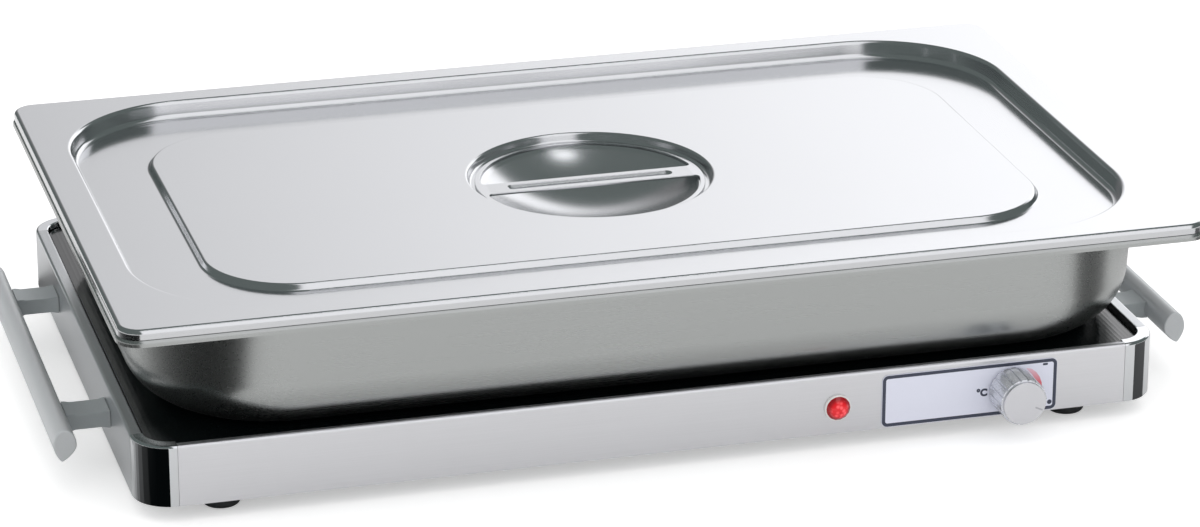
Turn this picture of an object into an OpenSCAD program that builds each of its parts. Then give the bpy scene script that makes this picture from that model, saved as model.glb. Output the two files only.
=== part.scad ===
// Electric food warmer tray with a one-size gastronorm pan and its lift-off lid.
// Millimetres, +Z up. The origin is the middle of the tray, on the surface it stands on;
// the dial and the knob are on the front, towards -Y.

/* [Tray] */
// Width of the tray frame, across the side rails
tray_w = 505; // [480:1:540]
// Depth of the tray frame, front face to rear face
tray_d = 313; // [300:1:340]
// Height of the frame's outer faces
panel_h = 30.5; // [28:0.5:40]
// Gap between the standing surface and the frame
ground_gap = 8.5; // [6:0.5:14]
// Outer radius of the corner posts
corner_r = 19; // [14:0.5:24]
// Wall of the corner posts, seen from above
corner_wall = 6.5; // [5:0.5:8]
// Sheet thickness of the frame
frame_t = 1.2; // [0.8:0.1:1.5]
// Width of a side rail's top face
rail_top = 6; // [5:0.5:8]
// Width of the front and rear panels' top faces
panel_top = 4; // [3.5:0.5:6]

/* [Heated plate] */
// Depth of the plate's face below the frame's top
plate_drop = 3; // [1:0.5:5]
// Thickness of the ribbed glass plate
plate_t = 4; // [3:0.5:6]

/* [Controls] */
// Knob centre, from the middle of the tray
knob_x = 174.6; // [150:0.1:190]
// Pilot lamp centre, from the middle of the tray
lamp_x = 86.3; // [60:0.1:95]
// Height of the knob and lamp centres above the standing surface
control_z = 22.2; // [20:0.1:24]
// Knob radius over the flutes
knob_r = 11.75; // [10:0.25:13]
// Reach of the knob from the front panel
knob_reach = 20; // [18:0.5:24]
// Number of flutes on the knob
flute_count = 26; // [18:1:32]
// Width of the dial plate
dial_w = 89.4; // [80:0.1:95]
// Height of the dial plate
dial_h = 26.8; // [24:0.1:28]
// Left edge of the dial plate, from the middle of the tray
dial_left = 108.7; // [105:0.1:112]

/* [Handles] */
// Clear gap between the rail and the handle bar
handle_gap = 20.5; // [18:0.5:30]
// Length of a handle bar
bar_len = 222; // [200:1:240]
// Width of the bar's oval section
bar_w = 11; // [9:0.5:14]
// Height of the bar's oval section
bar_h = 16; // [12:0.5:20]
// Distance between the two posts of a handle
post_pitch = 152; // [130:1:170]
// Height of the handles' middle above the standing surface
handle_z = 25; // [22:0.5:28]

/* [Pan and lid] */
// Length of the lid, which is the gastronorm 1/1 length
gn_l = 530; // [529:0.5:531]
// Width of the lid, which is the gastronorm 1/1 width
gn_w = 325; // [324:0.5:326]
// Height of the pan, floor to rim
pan_h = 61.4; // [55:0.1:65]
// Place of the pan on the plate, left to right
pan_x = 5.3; // [-6:0.1:6]
// Place of the pan on the plate, front to back
pan_y = -5; // [-6:0.1:6]
// Sheet thickness of the pan and the lid
steel_t = 0.8; // [0.6:0.1:1]
// Depth of the lid's recess below its rim
recess_drop = 9; // [6:0.5:12]
// Height of the raised middle panel above the recess
panel_rise = 3; // [1.5:0.5:5]
// Radius of the round grip dish
dish_r = 61; // [55:0.5:65]
// Depth of the bowl under the grip strap
bowl_depth = 17; // [12:0.5:22]

/* [Hidden] */
$fn = 48;

LEFT = -1;
RIGHT = 1;
FRONT = -1;
REAR = 1;

frame_top = ground_gap + panel_h;
front_y = -tray_d/2;
corner_x = tray_w/2 - corner_r;
corner_y = tray_d/2 - corner_r;
joint_gap = 0.15;          // hairline between a frame bar and a corner post
edge_r = 1.4;              // outer bend radius along the frame's top edges

plate_z = frame_top - plate_drop;          // top face of the plate
plate_play = 0.5;                          // gap round the plate's edge
plate_l = tray_w - 2*corner_wall - 2*plate_play;
plate_w = tray_d - 2*corner_wall - 2*plate_play;
plate_r = corner_r - corner_wall - plate_play;
opening_l = tray_w - 2*rail_top;           // between the side rails' lips
opening_w = tray_d - 2*panel_top;          // between the front and rear lips
seal_t = 1.1;
seal_w = 7;
ledge_z = plate_z - plate_t - seal_t;      // top of the ledge that carries the plate
ledge_reach = 9;                           // ledge, from the lip inwards
foot_flange = 14;                          // bottom flange, from the outer face inwards

spreader_l = 470;
spreader_w = 270;
spreader_t = 1;
element_t = 0.8;
track_w = 7;               // width of the heating track
track_pitch = 14;
track_rows = 16;
track_l = 410;
board_l = 440;
board_w = 240;
board_t = 0.8;
mat_t = 8;
backing_t = 1;
backing_w = 230;
spreader_z = plate_z - plate_t - spreader_t;
element_z = spreader_z - element_t;
board_z = element_z - board_t;
mat_z = board_z - mat_t;
backing_half = board_l/2 + 2;              // half length inside the backing pan
tab_x = -track_l/2 + track_w/2;            // the track's two end tabs
tab_y = 122;

boss_r = 4;                // screw boss of a corner post
boss_h = 18;
boss_in = boss_r + 0.2;    // boss centre from the post's axis, both ways
pilot_r = 1.5;
web_t = 2;

base_t = 1;
base_z = ground_gap - base_t;
base_inset = 3;
foot_x = 210.5;
foot_y = 138;
foot_r = 8.5;

post_w = 18;               // width of a handle post where it meets the rail
post_h = 8.7;
waist_r = 32;              // radius of the hollow sides of a handle post
waist_in = 1.6;            // how far the hollow sides cut in
hollow_in = 1.1;           // how far its top and underside cut in
bar_x = tray_w/2 + handle_gap + bar_w/2;
screw_r = 2;
screw_play = 0.2;

dial_t = 0.5;
dial_y = front_y - dial_t;
dial_z = 9.2;
bush_r = 4;
bush_end = dial_y - 4.2;
shaft_r = 3;
shaft_play = 0.06;
shaft_in = front_y + frame_t + 6;
knob_gap = 1.2;
knob_back = dial_y - knob_gap;
knob_front = front_y - knob_reach;
cap_t = 1.6;
off_angle = -25;           // direction of the off mark, from +X, seen from the front

lamp_tube_r = 5.2;

block_x = 150;             // terminal block and, behind it, the cable gland
block_y = 128;
pole_pitch = 8;
stud_at = [115, 130];
gland_z = 20;
gland_bore = 3.7;
gland_thread_r = 7.6;
gland_af = 18;
gland_hex_t = 5;
gland_reach = 20;
locknut_t = 4;
rear_y = tray_d/2;

rim_r = 11;                // outer corner radius of the lid's rim
lid_skirt = 4.6;           // height of the lid's turned-down edge
pan_skirt = 3.4;           // height of the pan's turned-down edge
pan_over = 0.8;            // how far the pan's rim stands out past the lid's
pan_rim_z = plate_z + pan_h;
lid_z = pan_rim_z + lid_skirt;             // top face of the lid's rim
wall_l = 506;
wall_w = 304;
wall_r = 60;
recess_l = 494;
recess_w = 293;
recess_r = 64;
raised_l = 420;
raised_w = 218;
raised_r = 47;

// ---------------------------------------------------------------- shared shapes

// Rectangle with true round corners, centred.
module rounded_rect(l, w, r) {
    square([l - 2*r, w], center = true);
    square([l, w - 2*r], center = true);
    for (sx = [-1, 1], sy = [-1, 1])
        translate([sx*(l/2 - r), sy*(w/2 - r)]) circle(r);
}

// Carries a section, drawn as [outward, up], round a rounded rectangle.
module around(l, w, r) {
    for (k = [0:3]) {
        a = k % 2 == 0 ? l : w;
        b = k % 2 == 0 ? w : l;
        rotate(90*k) {
            translate([a/2 - r, b/2 - r, 0])
                rotate_extrude(angle = 90) translate([r, 0]) children();
            translate([a/2, b/2 - r, 0])
                rotate([90, 0, 0]) linear_extrude(b - 2*r) children();
        }
    }
}

// Points on an arc about c, from angle a0 to angle a1, in n steps.
function arc(c, r, a0, a1, n) =
    [for (i = [0:n]) let (a = a0 + (a1 - a0)*i/n) [c[0] + r*cos(a), c[1] + r*sin(a)]];

function reversed(p) = [for (i = [len(p) - 1:-1:0]) p[i]];

// Section of drawn sheet that leaves a flat at height 0 over a bend of radius rb, runs down a
// wall that leans lean degrees from upright, and turns over a fillet rf into a flat drop lower.
// The upper flat starts at [rb, 0]; floor_in() says where the lower one does. Each flat runs
// on by lap, into the sheet that it joins.
lap = 0.5;
function floor_in(drop, rb, rf, lean) =
    rb - (rf + rb - sin(lean)*(rb + rf - drop))/cos(lean);

module drawn_wall(drop, rb, rf, lean, t, n = 8) {
    top = [rb, -rb];
    low = [floor_in(drop, rb, rf, lean), rf - drop];
    upper = concat([[rb + lap, 0]], arc(top, rb, 90, 180 - lean, n),
        arc(low, rf, -lean, -90, n), [[low[0] - lap, -drop]]);
    under = concat([[rb + lap, -t]], arc(top, rb - t, 90, 180 - lean, n),
        arc(low, rf + t, -lean, -90, n), [[low[0] - lap, -drop - t]]);
    polygon(concat(upper, reversed(under)));
}

// Section of a rim's turned-down edge, ending at [0, -h].
module turned_edge(h, r, t, n = 6) {
    c = [-r, -r];
    polygon(concat(
        [[-r - lap, 0]], arc(c, r, 90, 0, n), [[0, -h], [-t, -h]],
        reversed(arc(c, r - t, 90, 0, n)), [[-r - lap, -t]]));
}

// What a square corner loses when it is rounded, with the corner at [0, 0].
module spandrel(r) {
    difference() {
        translate([-0.1, -0.1]) square(r + 0.1);
        translate([r, r]) circle(r);
    }
}

// Hexagon bar across flats af, along +Z.
module hex(af, h) { cylinder(r = af/2/cos(30), h = h, $fn = 6); }

// A row of holes, slots or anything else, centred.
module row(count, pitch) {
    for (i = [0:count - 1]) translate([(i - (count - 1)/2)*pitch, 0, 0]) children();
}

// Round-ended slot along X.
module slot(l, w) {
    square([l - w, w], center = true);
    for (s = [-1, 1]) translate([s*(l - w)/2, 0]) circle(w/2);
}

// Pan-head screw along +Z with its head below z = 0.
module pan_screw(r, length, head_r, head_h) {
    cylinder(r = r, h = length);
    rotate_extrude() polygon([
        [0, 0], [head_r, 0], [head_r, -0.45*head_h], [0.72*head_r, -0.86*head_h],
        [0.35*head_r, -head_h], [0, -head_h]]);
}

// Wire through the points of a path: one ring at each point, carried along without a twist.
function unit(v) = v/norm(v);
function heading(p, i) =
    i == 0 ? unit(p[1] - p[0])
    : i == len(p) - 1 ? unit(p[i] - p[i - 1])
    : unit(unit(p[i + 1] - p[i]) + unit(p[i] - p[i - 1]));
function carried(p, i = 0, u = [0.1, 0.2, 1]) =
    i == len(p) ? []
    : let (t = heading(p, i), v = unit(u - (u*t)*t))
        concat([[v, cross(t, v)]], carried(p, i + 1, v));

module wire(path, r, sides = 8) {
    frames = carried(path);
    rings = len(path);
    last = (rings - 1)*sides;
    points = [for (i = [0:rings - 1], k = [0:sides - 1]) let (a = 360*k/sides)
        path[i] + r*(cos(a)*frames[i][0] + sin(a)*frames[i][1])];
    polyhedron(points, concat(
        [for (i = [0:rings - 2], k = [0:sides - 1]) let (
            a = i*sides + k, b = i*sides + (k + 1) % sides)
            [a + sides, b + sides, b, a]],
        [[for (k = [0:sides - 1]) k], [for (k = [sides - 1:-1:0]) last + k]]));
}

// ---------------------------------------------------------------- tray frame

// Folded section of a frame bar as [inwards, up]: outer face, top, inner lip, the ledge that
// carries the plate, and the bottom flange.
module frame_section(top_w) {
    ledge = ledge_z - ground_gap - frame_t;
    difference() {
        union() {
            square([frame_t, panel_h]);
            translate([0, panel_h - frame_t]) square([top_w, frame_t]);
            translate([top_w - frame_t, ledge]) square([frame_t, panel_h - ledge]);
            translate([top_w - frame_t, ledge]) square([ledge_reach + frame_t, frame_t]);
            square([foot_flange, frame_t]);
        }
        translate([0, panel_h]) mirror([0, 1]) spandrel(edge_r);
        translate([top_w, panel_h]) mirror([1, 0]) mirror([0, 1]) spandrel(edge_r/2);
    }
}

// A frame bar along X with its outer face on y = 0, turned inwards to +Y.
module frame_bar(length, top_w) {
    translate([-length/2, 0, ground_gap])
        rotate([90, 0, 90]) linear_extrude(length) frame_section(top_w);
}

module panel(side) {
    rotate(side == FRONT ? 0 : 180) translate([0, front_y, 0])
        frame_bar(2*(corner_x - joint_gap), panel_top);
}

module front_panel() color("gainsboro") difference() {
    panel(FRONT);
    for (hole = [[knob_x, bush_r + screw_play], [lamp_x, lamp_tube_r + screw_play]])
        translate([hole[0], front_y - 1, control_z]) rotate([-90, 0, 0])
            cylinder(r = hole[1], h = frame_t + 2);
}

module rear_panel() color("gainsboro") difference() {
    panel(REAR);
    translate([block_x, rear_y - frame_t - 1, gland_z]) rotate([-90, 0, 0])
        cylinder(r = gland_thread_r + screw_play, h = frame_t + 2);
}

module side_rail(side) color("gainsboro") difference() {
    translate([side*tray_w/2, 0, 0]) rotate(side*90)
        frame_bar(2*(corner_y - joint_gap), rail_top);
    for (y = [-1, 1]) translate([side*tray_w/2, y*post_pitch/2, handle_z]) rotate([0, 90, 0])
        cylinder(r = screw_r + screw_play, h = 4*frame_t, center = true);
}

// Quarter-round post with a shelf for the plate's corner and a screw boss on its axis.
module corner_post(sx, sy) color("silver")
    translate([sx*corner_x, sy*corner_y, ground_gap])
    rotate(sy == REAR ? (sx == RIGHT ? 0 : 90) : (sx == RIGHT ? -90 : 180)) {
        inner = corner_r - corner_wall;
        shelf = ledge_z - ground_gap - frame_t;
        rotate_extrude(angle = 90) difference() {
            translate([inner, 0]) square([corner_wall, panel_h]);
            translate([corner_r, panel_h]) mirror([1, 0]) mirror([0, 1]) spandrel(edge_r);
            translate([inner, panel_h]) mirror([0, 1]) spandrel(edge_r/2);
        }
        translate([0, 0, shelf]) rotate_extrude(angle = 90) square([inner, frame_t]);
        difference() {
            union() {
                cube([inner + 0.5, web_t, boss_h]);
                cube([web_t, inner + 0.5, boss_h]);
                translate([boss_in, boss_in, 0]) cylinder(r = boss_r, h = boss_h);
            }
            translate([boss_in, boss_in, -1]) cylinder(r = pilot_r, h = boss_h);
        }
    }

// ---------------------------------------------------------------- heated plate

module plate_outline() { rounded_rect(plate_l, plate_w, plate_r); }

// The frame's opening, which steps in at the four posts.
module opening_outline(play) {
    rounded_rect(plate_l + 2*(plate_play - play), plate_w + 2*(plate_play - play),
                 corner_r - corner_wall - play);
    square([2*(corner_x - play), opening_w - 2*play], center = true);
    square([opening_l - 2*play, 2*(corner_y - play)], center = true);
}

module heating_plate() color([0.05, 0.06, 0.06])
    translate([0, 0, plate_z - plate_t]) linear_extrude(plate_t) plate_outline();

// Silicone bed under the plate's edge, with a bead between the plate and the frame.
module plate_seal() color([0.12, 0.12, 0.13]) {
    bead_h = plate_t - 1;
    translate([0, 0, ledge_z]) linear_extrude(seal_t) difference() {
        opening_outline(0.1);
        rounded_rect(plate_l - 2*seal_w, plate_w - 2*seal_w, plate_r/2);
    }
    translate([0, 0, ledge_z + seal_t]) linear_extrude(bead_h) difference() {
        opening_outline(0.1);
        plate_outline();
    }
}

module heat_spreader() color("lightgray")
    translate([0, 0, spreader_z]) linear_extrude(spreader_t)
        rounded_rect(spreader_l, spreader_w, 8);

// Flat resistance track that runs to and fro under the spreader, with a tab at each end.
module heating_element() color("peru")
    translate([0, 0, element_z]) linear_extrude(element_t) {
        half = (track_rows - 1)/2;
        for (i = [0:track_rows - 1])
            translate([0, (i - half)*track_pitch]) square([track_l, track_w], center = true);
        for (i = [0:track_rows - 2]) {
            side = i % 2 == 0 ? RIGHT : LEFT;
            translate([side*track_l/2, (i - half + 0.5)*track_pitch]) difference() {
                circle(track_pitch/2 + track_w/2);
                circle(track_pitch/2 - track_w/2);
                translate([-side*track_pitch, 0]) square(2*track_pitch, center = true);
            }
        }
        for (end = [-1, 1]) translate([tab_x, end*(tab_y + half*track_pitch)/2])
            square([track_w, tab_y + track_w - half*track_pitch], center = true);
    }

module element_board() color("wheat")
    translate([0, 0, board_z]) linear_extrude(board_t) rounded_rect(board_l, board_w, 6);

module insulation_mat() color("khaki")
    translate([0, 0, mat_z]) linear_extrude(mat_t)
        rounded_rect(board_l, backing_w - 2, 6);

// Steel channel that holds the mat and the board up against the spreader.
module heater_backing_pan() color("darkgray") {
    flange_z = ledge_z - frame_t - backing_t;
    flange_l = 21;
    floor_z = mat_z - backing_t;
    translate([0, backing_w/2, 0]) rotate([90, 0, 0]) linear_extrude(backing_w) {
        translate([-backing_half - backing_t, floor_z])
            square([2*(backing_half + backing_t), backing_t]);
        for (side = [LEFT, RIGHT]) scale([side, 1]) {
            translate([backing_half, floor_z])
                square([backing_t, flange_z + backing_t - floor_z]);
            translate([backing_half, flange_z]) square([flange_l, backing_t]);
        }
    }
}

// ---------------------------------------------------------------- base

// Closing sheet with two fields of cooling slots.
module base_pan() color("silver")
    translate([0, 0, base_z]) linear_extrude(base_t) difference() {
        rounded_rect(tray_w - 2*base_inset, tray_d - 2*base_inset, corner_r - base_inset);
        for (at = [[120, -95], [-120, 95]], y = [-1, 1])
            translate([at[0], at[1] + y*17]) row(12, 10) rotate(90) slot(26, 4);
        for (sx = [-1, 1], sy = [-1, 1]) {
            translate([sx*foot_x, sy*foot_y]) circle(screw_r + screw_play);
            translate([sx*(corner_x + boss_in), sy*(corner_y + boss_in)])
                circle(pilot_r + screw_play);
        }
    }

module base_screws() color("gray")
    for (sx = [-1, 1], sy = [-1, 1])
        translate([sx*(corner_x + boss_in), sy*(corner_y + boss_in), base_z])
            pan_screw(pilot_r, 9, 2.9, 2);

foot_hole = 3.2;           // depth of the foot's screw recess
module foot(sx, sy) color([0.1, 0.1, 0.1])
    translate([sx*foot_x, sy*foot_y, 0]) difference() {
        dome_r = 4;
        rotate_extrude() polygon(concat(
            [[0, base_z], [foot_r, base_z]],
            arc([foot_r - dome_r, dome_r], dome_r, 0, -90, 6), [[0, 0]]));
        translate([0, 0, -1]) cylinder(r = screw_r + screw_play, h = base_z + 2);
        translate([0, 0, -1]) cylinder(r = foot_r/2, h = foot_hole + 1);
    }

module foot_screws() color("gray")
    for (sx = [-1, 1], sy = [-1, 1]) translate([sx*foot_x, sy*foot_y, 0]) {
        translate([0, 0, foot_hole]) pan_screw(screw_r, 10, 3.6, 2.4);
        translate([0, 0, ground_gap]) hex(7, 3.2);
    }

// ---------------------------------------------------------------- handles

// Upright oval, a little pointed underneath, as [outwards, up].
module bar_section(steps = 40) {
    polygon([for (i = [0:steps - 1]) let (a = 360*i/steps, low = max(0, -sin(a)))
        [bar_w/2*cos(a)*(1 - 0.14*low), bar_h/2*sin(a)]]);
}

module bar_solid(length) {
    rotate([90, 0, 0]) linear_extrude(length, center = true) bar_section();
}

module handle_bar(side) color("darkgray") difference() {
    translate([side*bar_x, 0, handle_z]) bar_solid(bar_len);
    for (y = [-1, 1]) translate([side*(tray_w/2 + handle_gap - 1), y*post_pitch/2, handle_z])
        rotate([0, side*90, 0]) cylinder(r = screw_r, h = bar_w - 3);
}

// Post with hollow sides, square to the rail and saddled on to the bar.
module handle_post(side, end) color("darkgray")
    translate([side*tray_w/2, end*post_pitch/2, handle_z]) rotate(side == LEFT ? 180 : 0)
    difference() {
        translate([0, -post_w/2, -post_h/2]) cube([handle_gap + bar_w/3, post_w, post_h]);
        translate([handle_gap + bar_w/2, 0, 0]) bar_solid(post_w + 2);
        for (s = [-1, 1]) {
            translate([handle_gap/2, s*(post_w/2 + waist_r - waist_in), 0])
                cylinder(r = waist_r, h = post_h + 2, center = true);
            translate([handle_gap/2, 0, s*(post_h/2 + waist_r - hollow_in)]) rotate([90, 0, 0])
                cylinder(r = waist_r, h = post_w + 2, center = true);
        }
        translate([-1, 0, 0]) rotate([0, 90, 0])
            cylinder(r = screw_r + screw_play, h = handle_gap + 4);
    }

module handle_screws() color("gray")
    for (side = [LEFT, RIGHT], y = [-1, 1])
        translate([side*(tray_w/2 - frame_t), y*post_pitch/2, handle_z])
            rotate([0, side*90, 0]) pan_screw(screw_r, frame_t + handle_gap + 6.5, 3.6, 2.4);

// ---------------------------------------------------------------- controls

// Places a shape that is built along +Z so that it runs from y0 towards +Y.
module along_y(x, y0, z) { translate([x, y0, z]) rotate([-90, 0, 0]) children(); }

module dial_plate() color([0.88, 0.9, 0.95])
    translate([0, front_y, 0]) rotate([90, 0, 0]) linear_extrude(dial_t) difference() {
        translate([dial_left + dial_w/2, dial_z + dial_h/2]) rounded_rect(dial_w, dial_h, 3);
        translate([knob_x, control_z]) circle(bush_r + screw_play);
    }

// Rotary thermostat: mounting plate, case, threaded bush and two terminals.
case_w = 28;
case_d = 24;
case_low = 10.2;
case_h = 19.2;
tab_reach = 5.3;
tab_pitch = 16;
module thermostat_body() color([0.2, 0.2, 0.22]) {
    y0 = front_y + frame_t;
    difference() {
        union() {
            translate([knob_x - case_w/2 - 3, y0, case_low]) cube([case_w + 6, 1.5, case_h]);
            translate([knob_x, y0 + case_d, case_low + case_h/2]) rotate([90, 0, 0])
                linear_extrude(case_d - 1) rounded_rect(case_w, case_h, 3);
            along_y(knob_x, bush_end, control_z) cylinder(r = bush_r, h = y0 - bush_end + 1);
            for (s = [-1, 1])
                translate([knob_x + s*tab_pitch/2 - 2.4, y0 + case_d - 1, 15.6])
                    cube([4.8, tab_reach + 1, 0.8]);
        }
        along_y(knob_x, bush_end - 1, control_z)
            cylinder(r = shaft_r + shaft_play, h = shaft_in - bush_end + 1.5);
    }
}

module thermostat_nut() color("silver") along_y(knob_x, dial_y - 3, control_z) difference() {
    hex(12, 3);
    translate([0, 0, -1]) cylinder(r = bush_r + 0.05, h = 5);
}

// Sensing bulb under the spreader, with its capillary tube to the thermostat.
bulb_r = 2.5;
bulb_y = -127;
bulb_z = spreader_z - bulb_r;
bulb_x = 100;
bulb_l = 40;
module sensor_bulb() color("darkorange") {
    tube_z = 25;
    translate([bulb_x, bulb_y, bulb_z]) rotate([0, 90, 0]) cylinder(r = bulb_r, h = bulb_l);
    wire([[bulb_x + bulb_l - 1, bulb_y, bulb_z], [bulb_x + bulb_l + 10, bulb_y, bulb_z - 1],
          [knob_x, bulb_y, tube_z], [knob_x, front_y + frame_t + case_d, tube_z]], 0.75);
}

module sensor_clip() color("silver")
    translate([bulb_x + bulb_l/2 - 5, bulb_y, bulb_z]) rotate([90, 0, 90]) linear_extrude(10) {
        clip_t = 0.8;
        difference() {
            circle(bulb_r + clip_t);
            circle(bulb_r);
            translate([-2*bulb_r, 0]) square([4*bulb_r, 2*bulb_r]);
        }
        for (s = [0, 1]) mirror([s, 0]) {
            translate([bulb_r, 0]) square([clip_t, bulb_r]);
            translate([bulb_r, bulb_r - clip_t]) square([5, clip_t]);
        }
    }

// Snap-disc cut-out pressed up against the spreader.
module thermal_cutout() color([0.25, 0.2, 0.18])
    translate([-60, -127.5, spreader_z]) {
        translate([0, 0, -6]) cylinder(r = 7, h = 6);
        for (s = [0, 1]) mirror([s, 0, 0]) translate([6, -2.4, -5]) cube([7, 4.8, 0.8]);
    }

// The lamp's seat in the panel is at height 0 of these sections, which run inwards.
module pilot_lamp_bezel() color("whitesmoke") along_y(lamp_x, front_y, control_z)
    rotate_extrude() polygon([
        [4.5, -0.6], [5.6, -0.6], [5.6, -1.3], [6.1, -1.5], [6.6, -1.1], [6.6, 0],
        [lamp_tube_r, 0], [lamp_tube_r, 11], [4.5, 11]]);

module pilot_lamp_lens() color("red") along_y(lamp_x, front_y, control_z)
    rotate_extrude() polygon(concat(
        [[0, 4], [4.4, 4], [4.4, -0.6], [5.5, -0.6], [5.5, -1.5]],
        arc([0, 3.6], 7.5, -47, -90, 6)));

module pilot_lamp_body() color("ivory") along_y(lamp_x, front_y, control_z) {
    translate([0, 0, 4]) cylinder(r = 4.4, h = 18);
    for (s = [-1, 1]) translate([2*s, 0, 21]) cylinder(r = 0.8, h = 5.5);
}

// ---------------------------------------------------------------- wiring

block_l = 26;
block_d = 14;
block_h = 12;
pole_z = ground_gap + 5.5;
module terminal_block() color("ivory")
    difference() {
        translate([block_x - block_l/2, block_y - block_d/2, ground_gap])
            cube([block_l, block_d, block_h]);
        for (i = [-1:1]) {
            along_y(block_x + i*pole_pitch, block_y - block_d/2 + 4, pole_z)
                cylinder(r = 1.6, h = block_d);
            translate([block_x + i*pole_pitch, block_y, ground_gap + block_h - 3])
                cylinder(r = 2, h = 4);
        }
    }

module earth_stud() color("goldenrod")
    translate([stud_at[0], stud_at[1], ground_gap]) {
        cylinder(r = 2, h = 12);
        cylinder(r = 4.5, h = 0.8);
        hex(7, 4);
    }

// Leads from the block, the thermostat, the track's tabs and the lamp.
module internal_leads() color("firebrick") {
    r = 1.1;
    low = pole_z;
    block_face = block_y - block_d/2;
    tab_end = front_y + frame_t + case_d + tab_reach;
    run_y = block_face - 7;
    hot = knob_x + tab_pitch/2;
    fed = knob_x - tab_pitch/2;
    wire([[block_x + pole_pitch, block_face, low], [block_x + pole_pitch, run_y, low],
          [hot, run_y - 20, low], [hot, tab_end + 12, low], [hot, tab_end + 6, 16],
          [hot, tab_end, 16]], r);
    wire([[fed, tab_end, 16], [fed, tab_end + 2.4, 16], [fed, -tab_y, 13],
          [tab_x, -tab_y, 13], [tab_x, -tab_y, element_z]], r);
    wire([[block_x, block_face, low], [block_x, run_y, low], [tab_x, run_y, low],
          [tab_x, tab_y, low], [tab_x, tab_y, element_z]], r);
    wire([[block_x - pole_pitch, block_face, low], [block_x - pole_pitch, block_face - 3, low],
          [stud_at[0], block_face - 3, low], [stud_at[0], stud_at[1] - 2.1, low]], r);
    case_side = knob_x - case_w/2;
    for (k = [[-2, 16.5, -141], [2, 19, -138]])
        wire([[lamp_x + k[0], -130, control_z], [lamp_x + k[0], -128.3, control_z],
              [lamp_x + k[0], -127, k[1]], [130, -127, k[1]], [150, k[2], k[1]],
              [case_side, k[2], k[1]]], 0.85);
}

// Cable gland: body through the rear panel, domed cap, rubber seal and locknut.
module on_gland(y0) { along_y(block_x, y0, gland_z) children(); }

collar_r = 6.4;
collar_end = 12.5;
mouth_r = 4.4;
module gland_body() color([0.15, 0.15, 0.15]) difference() {
    union() {
        on_gland(rear_y) hex(gland_af, gland_hex_t);
        on_gland(rear_y) cylinder(r = collar_r, h = collar_end);
        on_gland(rear_y - frame_t - 6) cylinder(r = gland_thread_r, h = frame_t + 7);
    }
    on_gland(rear_y - 20) cylinder(r = 4.6, h = 40);
}

module gland_cap() color([0.15, 0.15, 0.15]) difference() {
    on_gland(rear_y + gland_hex_t) intersection() {
        hex(gland_af - 1, gland_reach - gland_hex_t);
        rotate_extrude() polygon([
            [0, 0], [9.2, 0], [9.8, 0.8], [9.8, 7], [8.4, 8.5], [7.2, 13], [5.8, 15], [0, 15]]);
    }
    on_gland(rear_y + gland_hex_t - 1) cylinder(r = collar_r + 0.1, h = collar_end - 2);
    on_gland(rear_y) cylinder(r = mouth_r, h = gland_reach + 2);
}

module gland_seal() color([0.05, 0.05, 0.05]) on_gland(rear_y)
    rotate_extrude() polygon([
        [gland_bore, 4.5], [4.5, 4.5], [4.5, collar_end], [collar_r, collar_end],
        [collar_r, 14], [mouth_r - 0.05, 14], [mouth_r - 0.05, 19], [gland_bore, 19]]);

module gland_locknut() color([0.15, 0.15, 0.15])
    on_gland(rear_y - frame_t - locknut_t) difference() {
        hex(gland_af, locknut_t);
        translate([0, 0, -1]) cylinder(r = gland_thread_r + 0.05, h = locknut_t + 2);
    }

// ---------------------------------------------------------------- knob

flat_in = 2.2;             // the shaft's flat, from its axis
flat_l = 9.5;
module shaft_form(r, y0, y1) {
    difference() {
        along_y(knob_x, y0, control_z) cylinder(r = r, h = y1 - y0);
        translate([knob_x - r - 1, y0 - 1, control_z + r - shaft_r + flat_in])
            cube([2*r + 2, min(flat_l, y1 - y0 - 1) + 1, r]);
    }
}

shaft_end = knob_front + cap_t + 2;
module thermostat_shaft() color("silver") shaft_form(shaft_r, shaft_end, shaft_in);

module knob_body() color("lightgray") {
    body_l = knob_back - knob_front - cap_t;
    cavity = 3.5;
    difference() {
        along_y(knob_x, knob_front + cap_t, control_z) difference() {
            rotate_extrude() polygon([
                [0, 0], [knob_r - 0.5, 0], [knob_r, 0.5], [knob_r, body_l - 0.4],
                [knob_r - 0.4, body_l], [7.6, body_l], [7.6, body_l - cavity],
                [0, body_l - cavity]]);
            for (i = [0:flute_count - 1]) rotate(360*i/flute_count)
                translate([knob_r + 0.35, 0, -1]) cylinder(r = 0.9, h = body_l + 2, $fn = 24);
        }
        shaft_form(shaft_r + 0.05, shaft_end - 0.2, shaft_end + 20);
    }
}

// Flat cap with a pointer groove that faces the off mark at rest.
module knob_cap() color("silver") along_y(knob_x, knob_front, control_z) {
    cap_r = knob_r - 0.9;
    difference() {
        rotate_extrude() polygon([
            [0, 0], [cap_r - 0.5, 0], [cap_r, 0.5], [cap_r, cap_t], [0, cap_t]]);
        rotate(-off_angle) translate([cap_r - 5, -0.5, -1]) cube([6, 1, 1.4]);
    }
}

// ---------------------------------------------------------------- pan

pan_bend = 4;
pan_fillet = 27;
pan_lean = 2.5;
pan_edge = 2.2;

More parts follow.
